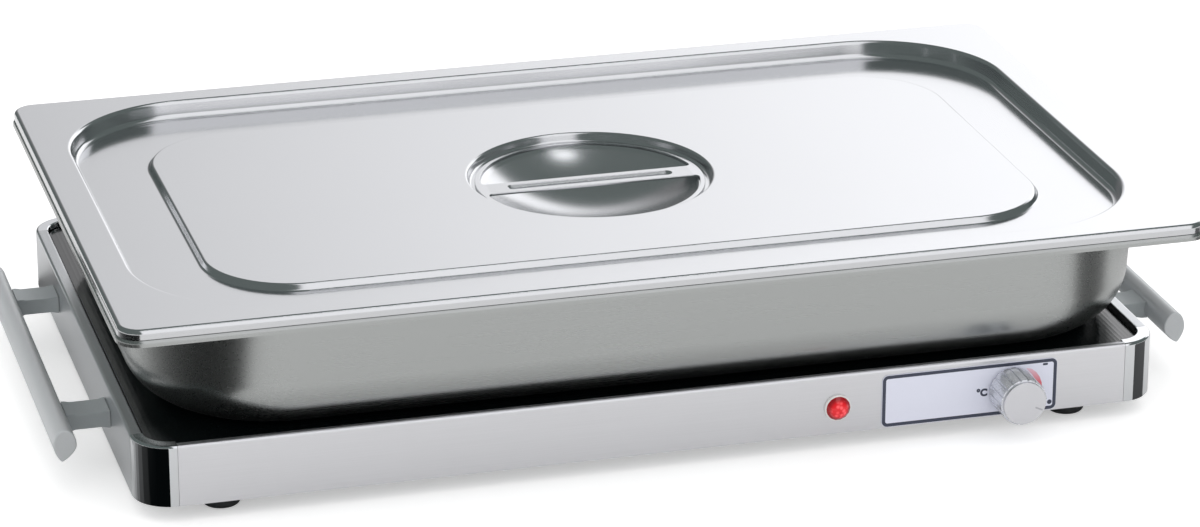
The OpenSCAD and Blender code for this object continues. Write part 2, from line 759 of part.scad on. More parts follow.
module food_pan() color("silver") translate([pan_x, pan_y, pan_rim_z]) {
    drop = pan_h - steel_t;
    low = floor_in(drop, pan_bend, pan_fillet, pan_lean);
    l = gn_l + 2*pan_over;
    w = gn_w + 2*pan_over;
    r = rim_r + pan_over;
    around(wall_l, wall_w, wall_r) drawn_wall(drop, pan_bend, pan_fillet, pan_lean, steel_t);
    around(l, w, r) turned_edge(pan_skirt, pan_edge, steel_t);
    translate([0, 0, -steel_t]) linear_extrude(steel_t) difference() {
        rounded_rect(l - 2*pan_edge, w - 2*pan_edge, r - pan_edge);
        rounded_rect(wall_l + 2*pan_bend, wall_w + 2*pan_bend, wall_r + pan_bend);
    }
    translate([0, 0, -pan_h]) linear_extrude(steel_t)
        rounded_rect(wall_l + 2*low, wall_w + 2*low, wall_r + low);
}

// ---------------------------------------------------------------- lid

lid_edge = 3.5;
recess_bend = 4;
recess_lean = 8;
raised_bend = 3;
raised_lean = 45;
dish_drop = 4.5;
dish_bend = 1.6;
dish_lean = 12;
bowl_r = 54.5;
raised_z = panel_rise - recess_drop;       // face of the raised panel, from the lid's rim
dish_z = raised_z - dish_drop;             // face of the ledge round the bowl

module lid_shell() color("gainsboro") translate([pan_x, pan_y, lid_z]) {
    recess_low = floor_in(recess_drop, recess_bend, recess_bend, recess_lean);
    raised_low = -floor_in(panel_rise, raised_bend, raised_bend, raised_lean);
    around(gn_l, gn_w, rim_r) turned_edge(lid_skirt, lid_edge, steel_t);
    translate([0, 0, -steel_t]) linear_extrude(steel_t) difference() {
        rounded_rect(gn_l - 2*lid_edge, gn_w - 2*lid_edge, rim_r - lid_edge);
        rounded_rect(recess_l + 2*recess_bend, recess_w + 2*recess_bend,
                     recess_r + recess_bend);
    }
    around(recess_l, recess_w, recess_r)
        drawn_wall(recess_drop, recess_bend, recess_bend, recess_lean, steel_t, 6);
    translate([0, 0, -recess_drop - steel_t]) linear_extrude(steel_t) difference() {
        rounded_rect(recess_l + 2*recess_low, recess_w + 2*recess_low,
                     recess_r + recess_low);
        rounded_rect(raised_l + 2*raised_low, raised_w + 2*raised_low,
                     raised_r + raised_low);
    }
    translate([0, 0, raised_z])
        around(raised_l, raised_w, raised_r) mirror([1, 0])
            drawn_wall(panel_rise, raised_bend, raised_bend, raised_lean, steel_t, 4);
    translate([0, 0, raised_z - steel_t]) linear_extrude(steel_t) difference() {
        rounded_rect(raised_l - 2*raised_bend, raised_w - 2*raised_bend,
                     raised_r - raised_bend);
        circle(dish_r + dish_bend);
    }
    translate([0, 0, raised_z]) grip_dish();
}

// Round dish with a ledge for the grip and a bowl that leaves room for the fingers.
module grip_dish() rotate_extrude() {
    ball = (bowl_r*bowl_r + bowl_depth*bowl_depth)/(2*bowl_depth);
    half = asin(bowl_r/ball);
    ledge_r = dish_r + floor_in(dish_drop, dish_bend, dish_bend, dish_lean);
    translate([dish_r, 0])
        drawn_wall(dish_drop, dish_bend, dish_bend, dish_lean, steel_t, 4);
    translate([bowl_r, -dish_drop - steel_t]) square([ledge_r - bowl_r, steel_t]);
    polygon(concat(
        arc([0, ball - bowl_depth - dish_drop], ball, half - 90, -90, 8),
        reversed(arc([0, ball - bowl_depth - dish_drop - steel_t], ball, half - 90, -90, 8))));
}

// Ring on the dish's ledge with a strap across it, pressed with a long groove.
grip_t = 1.2;
ring_out = 58;
ring_in = 54;
strap_w = 16.5;
groove_l = 85;
groove_w = 6;
groove_t = 1;
groove_drop = 1.4;
module lid_grip() color("lightgray") translate([pan_x, pan_y, lid_z + dish_z]) {
    linear_extrude(grip_t) difference() {
        union() {
            difference() {
                circle(ring_out);
                circle(ring_in);
            }
            square([2*ring_in + 2, strap_w], center = true);
        }
        slot(groove_l, groove_w);
    }
    translate([0, 0, -groove_drop]) {
        linear_extrude(groove_drop) difference() {
            slot(groove_l + 2*groove_t, groove_w + 2*groove_t);
            slot(groove_l, groove_w);
        }
        translate([0, 0, -groove_t]) linear_extrude(groove_t)
            slot(groove_l + 2*groove_t, groove_w + 2*groove_t);
    }
}

front_panel();
rear_panel();
side_rail(LEFT);  // left_rail
side_rail(RIGHT);  // right_rail
corner_post(LEFT, FRONT);  // corner_post_front_left
corner_post(RIGHT, FRONT);  // corner_post_front_right
corner_post(LEFT, REAR);  // corner_post_rear_left
corner_post(RIGHT, REAR);  // corner_post_rear_right
heating_plate();
plate_seal();
heat_spreader();
heating_element();
element_board();
insulation_mat();
heater_backing_pan();
base_pan();
base_screws();
foot(LEFT, FRONT);  // foot_front_left
foot(RIGHT, FRONT);  // foot_front_right
foot(LEFT, REAR);  // foot_rear_left
foot(RIGHT, REAR);  // foot_rear_right
foot_screws();
handle_bar(LEFT);  // left_handle_bar
handle_bar(RIGHT);  // right_handle_bar
handle_post(LEFT, FRONT);  // left_front_handle_post
handle_post(LEFT, REAR);  // left_rear_handle_post
handle_post(RIGHT, FRONT);  // right_front_handle_post
handle_post(RIGHT, REAR);  // right_rear_handle_post
handle_screws();
dial_plate();
thermostat_body();
thermostat_nut();
sensor_bulb();
sensor_clip();
thermal_cutout();
pilot_lamp_lens();
pilot_lamp_bezel();
pilot_lamp_body();
terminal_block();
earth_stud();
internal_leads();
gland_body();
gland_cap();
gland_seal();
gland_locknut();
thermostat_shaft();
knob_body();
knob_cap();
food_pan();
lid_shell();
lid_grip();
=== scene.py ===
import math

import bmesh
import bpy
from mathutils import Matrix, Vector


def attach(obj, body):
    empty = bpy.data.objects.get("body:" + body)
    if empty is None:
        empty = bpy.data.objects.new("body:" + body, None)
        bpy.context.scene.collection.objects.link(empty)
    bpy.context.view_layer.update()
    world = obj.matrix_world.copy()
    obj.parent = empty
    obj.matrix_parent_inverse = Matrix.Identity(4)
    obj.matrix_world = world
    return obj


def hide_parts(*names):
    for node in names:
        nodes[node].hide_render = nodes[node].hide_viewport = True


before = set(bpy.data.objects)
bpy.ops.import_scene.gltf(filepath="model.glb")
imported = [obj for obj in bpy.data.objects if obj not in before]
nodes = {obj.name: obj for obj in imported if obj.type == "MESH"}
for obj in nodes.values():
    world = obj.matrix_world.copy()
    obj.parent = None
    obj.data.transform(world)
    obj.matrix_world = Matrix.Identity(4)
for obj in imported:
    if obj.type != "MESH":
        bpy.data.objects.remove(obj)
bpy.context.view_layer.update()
MM = 0.001                    # sizes below are in millimetres, as on a drawing


# ------------------------------------------------------------------ camera
# A long lens 2.3 m away, in front of the tray and to its left, looking down on the lid.
photo_width = 1200
sensor_width = 36
focal_px = 4470.8
camera_at = Vector((-556.3, -2024.5, 859.6)) * MM
look_down, look_right, roll = (math.radians(a) for a in (21.17, 15.68, 0.10))

lens = bpy.data.cameras.new("long_lens")
lens.sensor_width = sensor_width
lens.lens = focal_px / photo_width * sensor_width
lens.clip_end = 50
camera = bpy.data.objects.new("camera", lens)
bpy.context.scene.collection.objects.link(camera)
bpy.context.scene.camera = camera
camera.matrix_world = (
    Matrix.Translation(camera_at)
    @ Matrix.Rotation(-look_right, 4, "Z")
    @ Matrix.Rotation(math.pi / 2 - look_down, 4, "X")
    @ Matrix.Rotation(roll, 4, "Z")
)
bpy.context.scene.view_settings.view_transform = "Standard"


# ------------------------------------------------------------------ studio
# A pale floor under soft even light. Polished metal sees the studio itself: a white wall
# behind that falls off to the left, a white sheet hung from overhead down to the front, a small
# soft box almost overhead, and the dark room between them.
def srgb(code):
    """Linear colour of a '#rrggbb' code."""
    parts = [int(code[i:i + 2], 16) / 255 for i in (1, 3, 5)]
    return [c / 12.92 if c <= 0.04045 else ((c + 0.055) / 1.055) ** 2.4 for c in parts] + [1]


def add(tree, kind, sockets=(), **settings):
    """Adds a node. A socket is given a plain value, an output, or a node for its first one."""
    made = tree.nodes.new(kind)
    for name, value in settings.items():
        setattr(made, name, value)
    for name, value in dict(sockets).items():
        if isinstance(value, bpy.types.Node):
            value = value.outputs[0]
        if isinstance(value, bpy.types.NodeSocket):
            tree.links.new(value, made.inputs[name])
        else:
            made.inputs[name].default_value = value
    return made


def calc(tree, operation, *values):
    """A Math node on one or two values."""
    return add(tree, "ShaderNodeMath", dict(enumerate(values)), operation=operation)


def ramp(tree, value, start, end, low=0.0, high=1.0, **settings):
    """low up to start, high past end, and in step with the value between them."""
    return add(tree, "ShaderNodeMapRange", {
        "Value": value, "From Min": start, "From Max": end, "To Min": low, "To Max": high},
        **settings)


room = bpy.data.worlds.new("studio")
bpy.context.scene.world = room
room.use_nodes = True
sky = room.node_tree
sky.nodes.clear()
towards = add(sky, "ShaderNodeTexCoord").outputs["Generated"]
level_x, level_y, height = add(sky, "ShaderNodeSeparateXYZ", {0: towards}).outputs
azimuth = calc(sky, "DEGREES", calc(sky, "ARCTAN2", level_y, level_x))
elevation = calc(sky, "DEGREES", calc(sky, "ARCSINE", height))


def even_light(code, strength):
    return add(sky, "ShaderNodeBackground", {"Color": srgb(code), "Strength": strength})


def card(behind, strength, *spans):
    """A white card of the studio. Each span is a part of the direction, the two ends between
    which the card is seen, and how soft these are."""
    inside = 1.0
    for part, start, end, soft in spans:
        for outer, inner in ((start - soft, start + soft), (end + soft, end - soft)):
            edge = ramp(sky, part, outer, inner, interpolation_type="SMOOTHSTEP")
            inside = calc(sky, "MULTIPLY", inside, edge)
    return add(sky, "ShaderNodeMixShader", {
        0: inside, 1: behind, 2: even_light("#FDFDFF", strength)})


# Azimuths run anticlockwise from +X: 90 is behind the tray and -90 in front of it. The sheet
# and the box overhead hang level, so their ends are given along X and Y.
wall = (azimuth, 28, 101, 2.5), (elevation, -12, 30, 2.5)
hung_sheet = (level_x, -0.04, 0.52, 0.06), (level_y, -1.1, -0.08, 0.05)
soft_box = (level_x, 0.16, 0.33, 0.05), (level_y, 0.085, 0.145, 0.03)
wall_light = ramp(sky, azimuth, 66, 94, 1.64, 0.24)
seen = card(even_light("#7C8684", 0.7), wall_light, *wall)
seen = card(seen, 1.25, *hung_sheet)
seen = card(seen, 5.0, *soft_box)

ray = add(sky, "ShaderNodeLightPath").outputs
lit = add(sky, "ShaderNodeMixShader", {
    0: ray["Is Glossy Ray"], 1: even_light("#FFFFFF", 1.08), 2: seen})
direct = calc(sky, "MAXIMUM", ray["Is Camera Ray"], ray["Is Transmission Ray"])
shown = add(sky, "ShaderNodeMixShader", {0: direct, 1: lit, 2: even_light("#FFFFFF", 1.0)})
add(sky, "ShaderNodeOutputWorld", {"Surface": shown})


def make_mesh(name, points, faces):
    mesh = bpy.data.meshes.new(name)
    mesh.from_pydata([Vector(p) * MM for p in points], [], faces)
    mesh.update()
    return mesh


def place(name, mesh, *materials):
    """A new object at the origin that carries a mesh and its materials."""
    made = bpy.data.objects.new(name, mesh)
    bpy.context.scene.collection.objects.link(made)
    for material in materials:
        mesh.materials.append(material)
    return made


def new_material(name):
    material = bpy.data.materials.new(name)
    material.use_nodes = True
    material.node_tree.nodes.clear()
    return material, material.node_tree


def principled(tree, sockets):
    """Ends a material's tree with a Principled surface."""
    add(tree, "ShaderNodeOutputMaterial", {
        "Surface": add(tree, "ShaderNodeBsdfPrincipled", sockets)})


floor_half = 3000
floor_paint, tree = new_material("pale_floor")
lift = calc(tree, "MULTIPLY", add(tree, "ShaderNodeLightPath").outputs["Is Camera Ray"], 0.4)
principled(tree, {
    "Base Color": srgb("#F3F3F3"), "Roughness": 0.9, "Specular IOR Level": 0.0,
    "Emission Color": srgb("#FFFFFF"), "Emission Strength": lift})
floor_corners = [(x * floor_half, y * floor_half, 0)
                 for x, y in ((-1, -1), (1, -1), (1, 1), (-1, 1))]
floor = place("floor", make_mesh("floor", floor_corners, [(0, 1, 2, 3)]), floor_paint)

# Black studio flags lie on the floor off each corner post and show only in reflections. Seen
# in a post, a flag runs between two angles round it, so its edges run the way that the
# camera's ray leaves the chrome there. Each cover is how black the flag is, angle by angle.
post_x, post_y, post_r = 233.5, 137.5, 19
flag_reach, flag_z = 420, 0.4
left_cover = {12: 1, 12.5: 1, 30: 1, 44: 0.97, 54: 0.9, 62: 0.75, 68: 0.5, 73: 0.2, 78: 0}
right_cover = {16: 1, 16.5: 0.9, 38: 0.75, 38.7: 0.7}
left_sight, right_sight = 9.5, 22.9     # bearings of the camera from the two front posts


def flag(name, side, sight, cover, turned):
    """side is -1 for the left front post and 1 for the right."""
    points = []
    for angle in cover:
        away = math.radians(angle)
        leaving = math.radians(sight + side * 2 * angle)
        foot = Vector((side * (post_x + post_r * math.sin(away)),
                       -post_y - post_r * math.cos(away), flag_z))
        end = foot + flag_reach * Vector((math.sin(leaving), -math.cos(leaving), 0))
        points += [Matrix.Rotation(math.radians(turned), 3, "Z") @ p for p in (foot, end)]
    faces = [(i, i + 1, i + 3, i + 2) for i in range(0, len(points) - 2, 2)]
    mesh = make_mesh(name, points, faces)
    mesh.attributes.new("cover", "FLOAT", "POINT").data.foreach_set(
        "value", [c for c in cover.values() for _ in (0, 1)])
    made = place(name, mesh, flag_cloth)
    made.visible_camera = made.visible_diffuse = made.visible_shadow = False
    made.visible_transmission = False


flag_cloth, tree = new_material("black_flag_cloth")
fade = add(tree, "ShaderNodeAttribute", attribute_name="cover").outputs["Fac"]
open_air = add(tree, "ShaderNodeBsdfTransparent")
black = add(tree, "ShaderNodeEmission", {"Color": srgb("#1B2224"), "Strength": 0.2})
cloth = add(tree, "ShaderNodeMixShader", {0: fade, 1: open_air, 2: black})
add(tree, "ShaderNodeOutputMaterial", {"Surface": cloth})
for turned in (0, 180):
    flag(f"flag_left_{turned}", -1, left_sight, left_cover, turned)
    flag(f"flag_right_{turned}", 1, right_sight, right_cover, turned)


# ------------------------------------------------------------------ frame panels and rails
# The front and rear panels and the side rails are folded from 1.2 mm stainless sheet, with a
# narrow top face and a flange below. They are brushed lengthways and butt on the corner posts.
def position(tree):
    return add(tree, "ShaderNodeTexCoord").outputs["Object"]


def noise(tree, sizes, detail):
    """Soft marks from 0 to 1, of these sizes in millimetres along X, Y and Z."""
    spot = add(tree, "ShaderNodeMapping", {
        "Vector": position(tree), "Scale": [1 / (size * MM) for size in sizes]})
    return add(tree, "ShaderNodeTexNoise", {
        "Vector": spot, "Scale": 1.0, "Detail": detail}).outputs["Fac"]


def bumped(tree, marks, relief):
    return add(tree, "ShaderNodeBump", {
        "Height": marks, "Strength": 1.0, "Distance": relief * MM})


def blend(tree, factor, colour, other):
    return add(tree, "ShaderNodeMix", {0: factor, 6: colour, 7: other},
               data_type="RGBA").outputs[2]


def finish(name, colour, roughness, grain, shade=0.0, spread=0.0, relief=0.0, **surface):
    """A finish with a grain. grain gives the size of its marks along X, Y and Z, and relief
    their height, in millimetres; shade and spread are how far they move colour and roughness."""
    material, tree = new_material(name)
    marks = noise(tree, grain, 3.0)
    dark, pale = ([min(1, c * (1 + change)) for c in srgb(colour)[:3]] + [1]
                  for change in (-shade, shade))
    principled(tree, {
        "Base Color": blend(tree, marks, dark, pale), "Normal": bumped(tree, marks, relief),
        "Roughness": ramp(tree, marks, 0.3, 0.7, roughness - spread, roughness + spread),
        **surface})
    return material


def dress(material, *names):
    """These CAD nodes keep their shape and take a finish."""
    for name in names:
        nodes[name].material_slots[0].material = material


# Brushed stainless: soft long highlights. Belt marks are 0.1 mm apart, drawn 0.5 mm to show.
# The panels and rails are one sheet; the panels' colour is painted lighter, as painted light.
brushed_x_painted_light = finish("brushed_stainless_along_x_painted_light", "#DEDEE1", 0.36, (60, 0.5, 0.5),
                   shade=0.05, spread=0.05, relief=0.004, Metallic=1.0)
brushed_y = finish("brushed_stainless_along_y", "#D6D8DA", 0.34, (0.5, 60, 0.5),
                   shade=0.05, spread=0.05, relief=0.004, Metallic=1.0)
dress(brushed_x_painted_light, "front_panel", "rear_panel")
dress(brushed_y, "left_rail", "right_rail")


# ------------------------------------------------------------------ corner posts
# Four zinc castings with a quarter-round outer face, polished and chrome plated. A screw boss
# inside each takes the base pan's screw.
# Bright chrome: hard-edged reflections with hardly a ripple in them.
chrome = finish("polished_chrome_plate", "#D6D8DA", 0.035, (30, 30, 30),
                shade=0.01, spread=0.01, relief=0.01, Metallic=1.0)
dress(chrome, *[f"corner_post_{end}_{side}" for end in ("front", "rear")
                for side in ("left", "right")])


# ------------------------------------------------------------------ heated plate
# One pane of black ceramic glass, 4 mm thick, with fine ribs front to back that keep a pan
# from sliding. It lies on a black silicone bead in the frame's opening.
def corners_of(length, width, radius, steps=24):
    """A rounded rectangle: its corner radius, and each point's corner centre and direction."""
    ways = []
    for k in range(4):
        cx = (length / 2 - radius) * (1 if k in (0, 3) else -1)
        cy = (width / 2 - radius) * (1 if k in (0, 1) else -1)
        for i in range(steps + 1):
            turned = math.radians(90 * (k + i / steps))
            ways.append((cx, cy, math.cos(turned), math.sin(turned)))
    return radius, ways


def ring(outline, out, z, tilt):
    """Points and normals round an outline grown by out; tilt leans the normals outward."""
    radius, ways = outline
    lean, up = math.sin(math.radians(tilt)), math.cos(math.radians(tilt))
    return [((cx + (radius + out) * dx, cy + (radius + out) * dy, z), (lean * dx, lean * dy, up))
            for cx, cy, dx, dy in ways]


def strip(low, high, inside_out=False):
    """Faces between two rings, each a list of (point, normal) corners."""
    count = len(low)
    faces = [(low[i], low[(i + 1) % count], high[(i + 1) % count], high[i])
             for i in range(count)]
    return [face[::-1] for face in faces] if inside_out else faces


def skin(rings, inside_out=False):
    """Faces along a row of rings, from each to the next."""
    return [face for low, high in zip(rings, rings[1:]) for face in strip(low, high, inside_out)]


def flat(shrunk, down=False):
    """The face inside a ring that is shrunk to the centres of its four corners."""
    corners = shrunk[::len(shrunk) // 4]
    return corners[::-1] if down else corners


def evenly(start, end, steps):
    return [start + (end - start) * i / steps for i in range(steps + 1)]


def bend(outline, out, z, radius, tilts, steps, hollow=False):
    """Section points, as ring takes them, on a bend about (out, z); tilts are the normal's
    first and last lean."""
    way = -1 if hollow else 1
    return [(outline, out + way * radius * math.sin(math.radians(tilt)),
             z + way * radius * math.cos(math.radians(tilt)), tilt)
            for tilt in evenly(*tilts, steps)]


def build(name, faces, moved=(0, 0, 0)):
    """Welds the faces' corners into one mesh that keeps their normals."""
    spots, loops, normals = {}, [], []
    for corners in faces:
        loop, kept = [], []
        for point, normal in corners:
            key = tuple(round(p + m, 4) for p, m in zip(point, moved))
            spot = spots.setdefault(key, len(spots))
            if spot not in loop:
                loop.append(spot)
                kept.append(normal)
        if len(loop) > 2:
            loops.append(loop)
            normals += kept
    mesh = make_mesh(name, list(spots), loops)
    mesh.shade_smooth()
    mesh.normals_split_custom_set([Vector(n).normalized() for n in normals])
    return mesh


def show(mesh, material, body, slot, *replaced):
    """A mesh as a finished piece of the same name, on its body and in place of CAD nodes."""
    piece = place(mesh.name, mesh, material)
    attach(piece, body)
    if replaced:
        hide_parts(*replaced)


plate_l, plate_w, plate_r = 491, 299, 12
plate_low, plate_top, plate_bevel = 32, 36, 0.5
rib_h, rib_w, rib_pitch, rib_count, rib_inset = 0.02, 1.6, 2.2, 221, 3
pane_top = plate_top - rib_h
plate_outline = corners_of(plate_l, plate_w, plate_r)
pane = [ring(*point) for point in [
    (plate_outline, -plate_r, plate_low, 180), (plate_outline, 0, plate_low, 180),
    (plate_outline, 0, plate_low, 90),
    *bend(plate_outline, -plate_bevel, pane_top - plate_bevel, plate_bevel, (90, 0), 3),
    (plate_outline, -plate_r, pane_top, 0)]]
pane_mesh = build("glass_pane", skin(pane) + [flat(pane[0], down=True), flat(pane[-1])])

# Black glass: near black, with a weak clear reflection of what stands on it.
black_glass = finish("black_ceramic_glass", "#080D0E", 0.15, (3, 3, 3),
                     shade=0.1, spread=0.02, IOR=1.65)


def geometry_tree(name, sizes):
    """A Geometry Nodes tree with these named inputs; returns it with its two end nodes."""
    tree = bpy.data.node_groups.new(name, "GeometryNodeTree")
    tree.interface.new_socket("Geometry", in_out="INPUT", socket_type="NodeSocketGeometry")
    for label, kind in sizes:
        tree.interface.new_socket(label, in_out="INPUT", socket_type=f"NodeSocket{kind}")
    tree.interface.new_socket("Geometry", in_out="OUTPUT", socket_type="NodeSocketGeometry")
    return tree, tree.nodes.new("NodeGroupInput").outputs, tree.nodes.new("NodeGroupOutput")


def grow(seed, tree, values):
    """The plain mesh that a tree makes of a seed mesh, with its inputs set by name."""
    name = seed.name
    holder = place(name, seed)
    run = holder.modifiers.new("grow", "NODES")
    run.node_group = tree
    for item in tree.interface.items_tree:
        if item.in_out == "INPUT" and item.name in values:
            run[item.identifier] = values[item.name]
    bpy.context.view_layer.update()
    ready = holder.evaluated_get(bpy.context.evaluated_depsgraph_get())
    mesh = bpy.data.meshes.new_from_object(ready)
    bpy.data.objects.remove(holder)
    bpy.data.meshes.remove(seed)
    mesh.materials.clear()          # the modifier leaves an empty slot, ahead of the piece's own
    mesh.name = name
    return mesh


# Ribs: a row of bars along X, each as long as the pane is there, so that the row keeps to the
# pane's round corners.
rib_tree, given, end = geometry_tree("plate_ribs", [
    ("Count", "Int"), ("Pitch", "Float"), ("Half length", "Float"), ("Half width", "Float"),
    ("Corner", "Float")])
row = calc(rib_tree, "MULTIPLY", calc(rib_tree, "SUBTRACT", given["Count"], 1.0), given["Pitch"])
start = calc(rib_tree, "MULTIPLY", row, -0.5)
line = add(rib_tree, "GeometryNodeMeshLine", {
    "Count": given["Count"],
    "Start Location": add(rib_tree, "ShaderNodeCombineXYZ", {0: start}),
    "Offset": add(rib_tree, "ShaderNodeCombineXYZ", {0: given["Pitch"]})})
# Half a bar is Half width - Corner + sqrt(Corner^2 - past^2), where past is how far the bar
# stands beyond the straight part of the pane's long side.
where = add(rib_tree, "ShaderNodeSeparateXYZ", {
    0: add(rib_tree, "GeometryNodeInputPosition")}).outputs["X"]
straight = calc(rib_tree, "SUBTRACT", given["Half length"], given["Corner"])
past = calc(rib_tree, "SUBTRACT", calc(rib_tree, "ABSOLUTE", where), straight)
past = calc(rib_tree, "MAXIMUM", past, 0.0)
squares = [calc(rib_tree, "POWER", side, 2.0) for side in (given["Corner"], past)]
bow = calc(rib_tree, "SQRT", calc(rib_tree, "SUBTRACT", *squares))
half_y = calc(rib_tree, "ADD",
              calc(rib_tree, "SUBTRACT", given["Half width"], given["Corner"]), bow)
stretch = add(rib_tree, "ShaderNodeCombineXYZ", {0: 1.0, 1: half_y, 2: 1.0})
bars = add(rib_tree, "GeometryNodeInstanceOnPoints", {
    "Points": line, "Instance": given["Geometry"], "Scale": stretch})
real = add(rib_tree, "GeometryNodeRealizeInstances", {0: bars})
rib_tree.links.new(real.outputs[0], end.inputs[0])

arch = [(-0.5, 0), (-0.33, 0.25), (-0.17, 0.75), (0, 1), (0.17, 0.75), (0.33, 0.25), (0.5, 0)]
rib_points = [(x * rib_w, y / MM, pane_top + z * rib_h) for y in (-1, 1) for x, z in arch]
last = len(arch) - 1
rib_faces = [(i, i + 1, i + last + 2, i + last + 1) for i in range(last)] + [
    range(last, -1, -1), range(last + 1, 2 * last + 2), (0, last + 1, 2 * last + 1, last)]
ribs = grow(make_mesh("plate_ribs", rib_points, rib_faces), rib_tree, {
    "Count": rib_count, "Pitch": rib_pitch * MM, "Half length": (plate_l / 2 - rib_inset) * MM,
    "Half width": (plate_w / 2 - rib_inset) * MM, "Corner": (plate_r - rib_inset) * MM})
show(pane_mesh, black_glass, "tray", "black_glass", "heating_plate")
show(ribs, black_glass, "tray", "black_glass")

# Silicone rubber: a dull dark bead.
seal_rubber = finish("black_silicone_bead", "#1A1C1D", 0.55, (1.5, 1.5, 1.5),
                     shade=0.15, spread=0.06, relief=0.02)
dress(seal_rubber, "plate_seal")


# ------------------------------------------------------------------ heater under the plate
# An aluminium spreader, an etched track on a mica board and a mineral mat, held up by a
# plated steel backing pan. None of it shows while the tray is whole.
# Rolled aluminium: bright, with soft rolling lines.
dress(finish("rolled_aluminium_sheet", "#C9CBCD", 0.32, (40, 0.8, 0.8), shade=0.04,
             spread=0.06, relief=0.004, Metallic=1.0), "heat_spreader")
# Etched foil track: tarnished coppery alloy.
dress(finish("etched_heating_foil", "#9A7B5C", 0.4, (6, 6, 6), shade=0.12, spread=0.08,
             Metallic=1.0), "heating_element")
# Mica board: silvery flakes pressed in a pale binder.
dress(finish("pressed_mica_board", "#C7B48E", 0.42, (2, 2, 2), shade=0.18, spread=0.12,
             relief=0.02), "element_board")
# Mineral fibre mat: matt and fuzzy.
dress(finish("mineral_fibre_mat", "#D8CFA8", 0.95, (1.2, 1.2, 0.6), shade=0.12,
             relief=0.25), "insulation_mat")
# Zinc plated steel: greyish with a faint spangle.
plated_sheet = finish("zinc_plated_sheet", "#B4B8BA", 0.38, (9, 9, 9), shade=0.08,
                      spread=0.1, relief=0.004, Metallic=1.0)
dress(plated_sheet, "heater_backing_pan", "sensor_clip")


# ------------------------------------------------------------------ base pan, screws and feet
# A louvred zinc plated sheet closes the underside. Four screws hold it to the corner posts,
# and four rubber feet are screwed up through it.
dress(plated_sheet, "base_pan")
# Plated screw heads: brighter than the sheet.
plated_screw = finish("zinc_plated_screw", "#C4C6C6", 0.28, (2, 2, 2), shade=0.06,
                      spread=0.06, Metallic=1.0)
dress(plated_screw, "base_screws", "foot_screws", "handle_screws", "thermostat_nut")
# Moulded rubber: black with a soft sheen.
foot_rubber = finish("moulded_black_rubber", "#15181A", 0.46, (1, 1, 1), shade=0.2,
                     spread=0.08, relief=0.015)
# A foot is round and domed below, with a hole for its screw and a recess for the head.
foot_r, foot_top, foot_dome, recess_r, recess_top, hole_r = 9.3, 7.5, 2.6, 4.65, 3.2, 2.2
foot_x, foot_y = 210.5, 138


def circle(steps=24):
    """An outline without any size, so that what a ring grows by is the ring's radius."""
    return corners_of(0, 0, 0, steps)


foot_axis = circle(12)
foot_section = [(foot_axis, recess_r, 0, 180)]
foot_section += bend(foot_axis, foot_r - foot_dome, foot_dome, foot_dome, (180, 90), 6)
foot_section += [(foot_axis, *point) for point in (
    (foot_r, foot_top, 90), (foot_r, foot_top, 0), (hole_r, foot_top, 0),
    (hole_r, foot_top, -90), (hole_r, recess_top, -90), (hole_r, recess_top, 180),
    (recess_r, recess_top, 180), (recess_r, recess_top, -90), (recess_r, 0, -90))]
foot_faces = skin([ring(*point) for point in foot_section])
for end_name, y in (("front", -foot_y), ("rear", foot_y)):
    for side, x in (("left", -foot_x), ("right", foot_x)):
        show(build(f"rubber_foot_{end_name}_{side}", foot_faces, (x, y, 0)), foot_rubber,
             "tray", "foot_rubber", f"foot_{end_name}_{side}")


# ------------------------------------------------------------------ handles
# Each handle is an oval bar on two posts with hollow sides, moulded in grey heat-proof plastic
# with a satin skin. Screws from inside the rail run through the posts into the bar.
tray_half, handle_gap, handle_z = 252.5, 20.5, 25
bar_w, bar_h, bar_len, bar_edge, bar_narrow, bar_shift = 11, 16, 222, 0.9, 0.5, 1.6
post_pitch, post_w, post_h, post_edge = 152, 18, 8.7, 0.45
waist_r, waist_in, hollow_in = 32, 1.6, 1.1
joint_line, joint_inset = 0.3, 0.5      # dark line where a post meets the rail and the bar
post_steps, post_stop, core_in = 14, 1.2, 0.6   # core_in: how far the core goes into the bar
bar_x = tray_half + handle_gap + bar_w / 2


def oval(shrunk, steps=96):
    """Points of the bar's section with their outward directions, as (x, z) pairs."""
    points = []
    for i in range(steps):
        a = 2 * math.pi * i / steps
        low = max(0, -math.sin(a)) ** 2
        points.append(Vector((
            bar_w / 2 * math.cos(a) * (1 - bar_narrow * low) + bar_shift * low,
            bar_h / 2 * math.sin(a))))
    out = []
    for i, point in enumerate(points):
        along = points[(i + 1) % steps] - points[i - 1]
        way = Vector((along.y, -along.x)).normalized()
        out.append((point - way * shrunk, way))
    return out


def bar_ring(y, shrunk, lean):
    """A ring of the bar at y, with its normals leaning out of the ring's plane."""
    side, ahead = math.cos(lean), math.sin(lean)
    return [((bar_x + p.x, y, handle_z + p.y), (way.x * side, ahead, way.y * side))
            for p, way in oval(shrunk)]


bar_rings = []
for end_sign, leans in ((-1, (90, 60, 30, 0)), (1, (0, 30, 60, 90))):
    for lean in map(math.radians, leans):
        y = end_sign * (bar_len / 2 - bar_edge * (1 - math.sin(lean)))
        bar_rings.append(bar_ring(y, bar_edge * (1 - math.cos(lean)), end_sign * lean))
bar_faces = skin(bar_rings, inside_out=True) + [bar_rings[0], bar_rings[-1][::-1]]


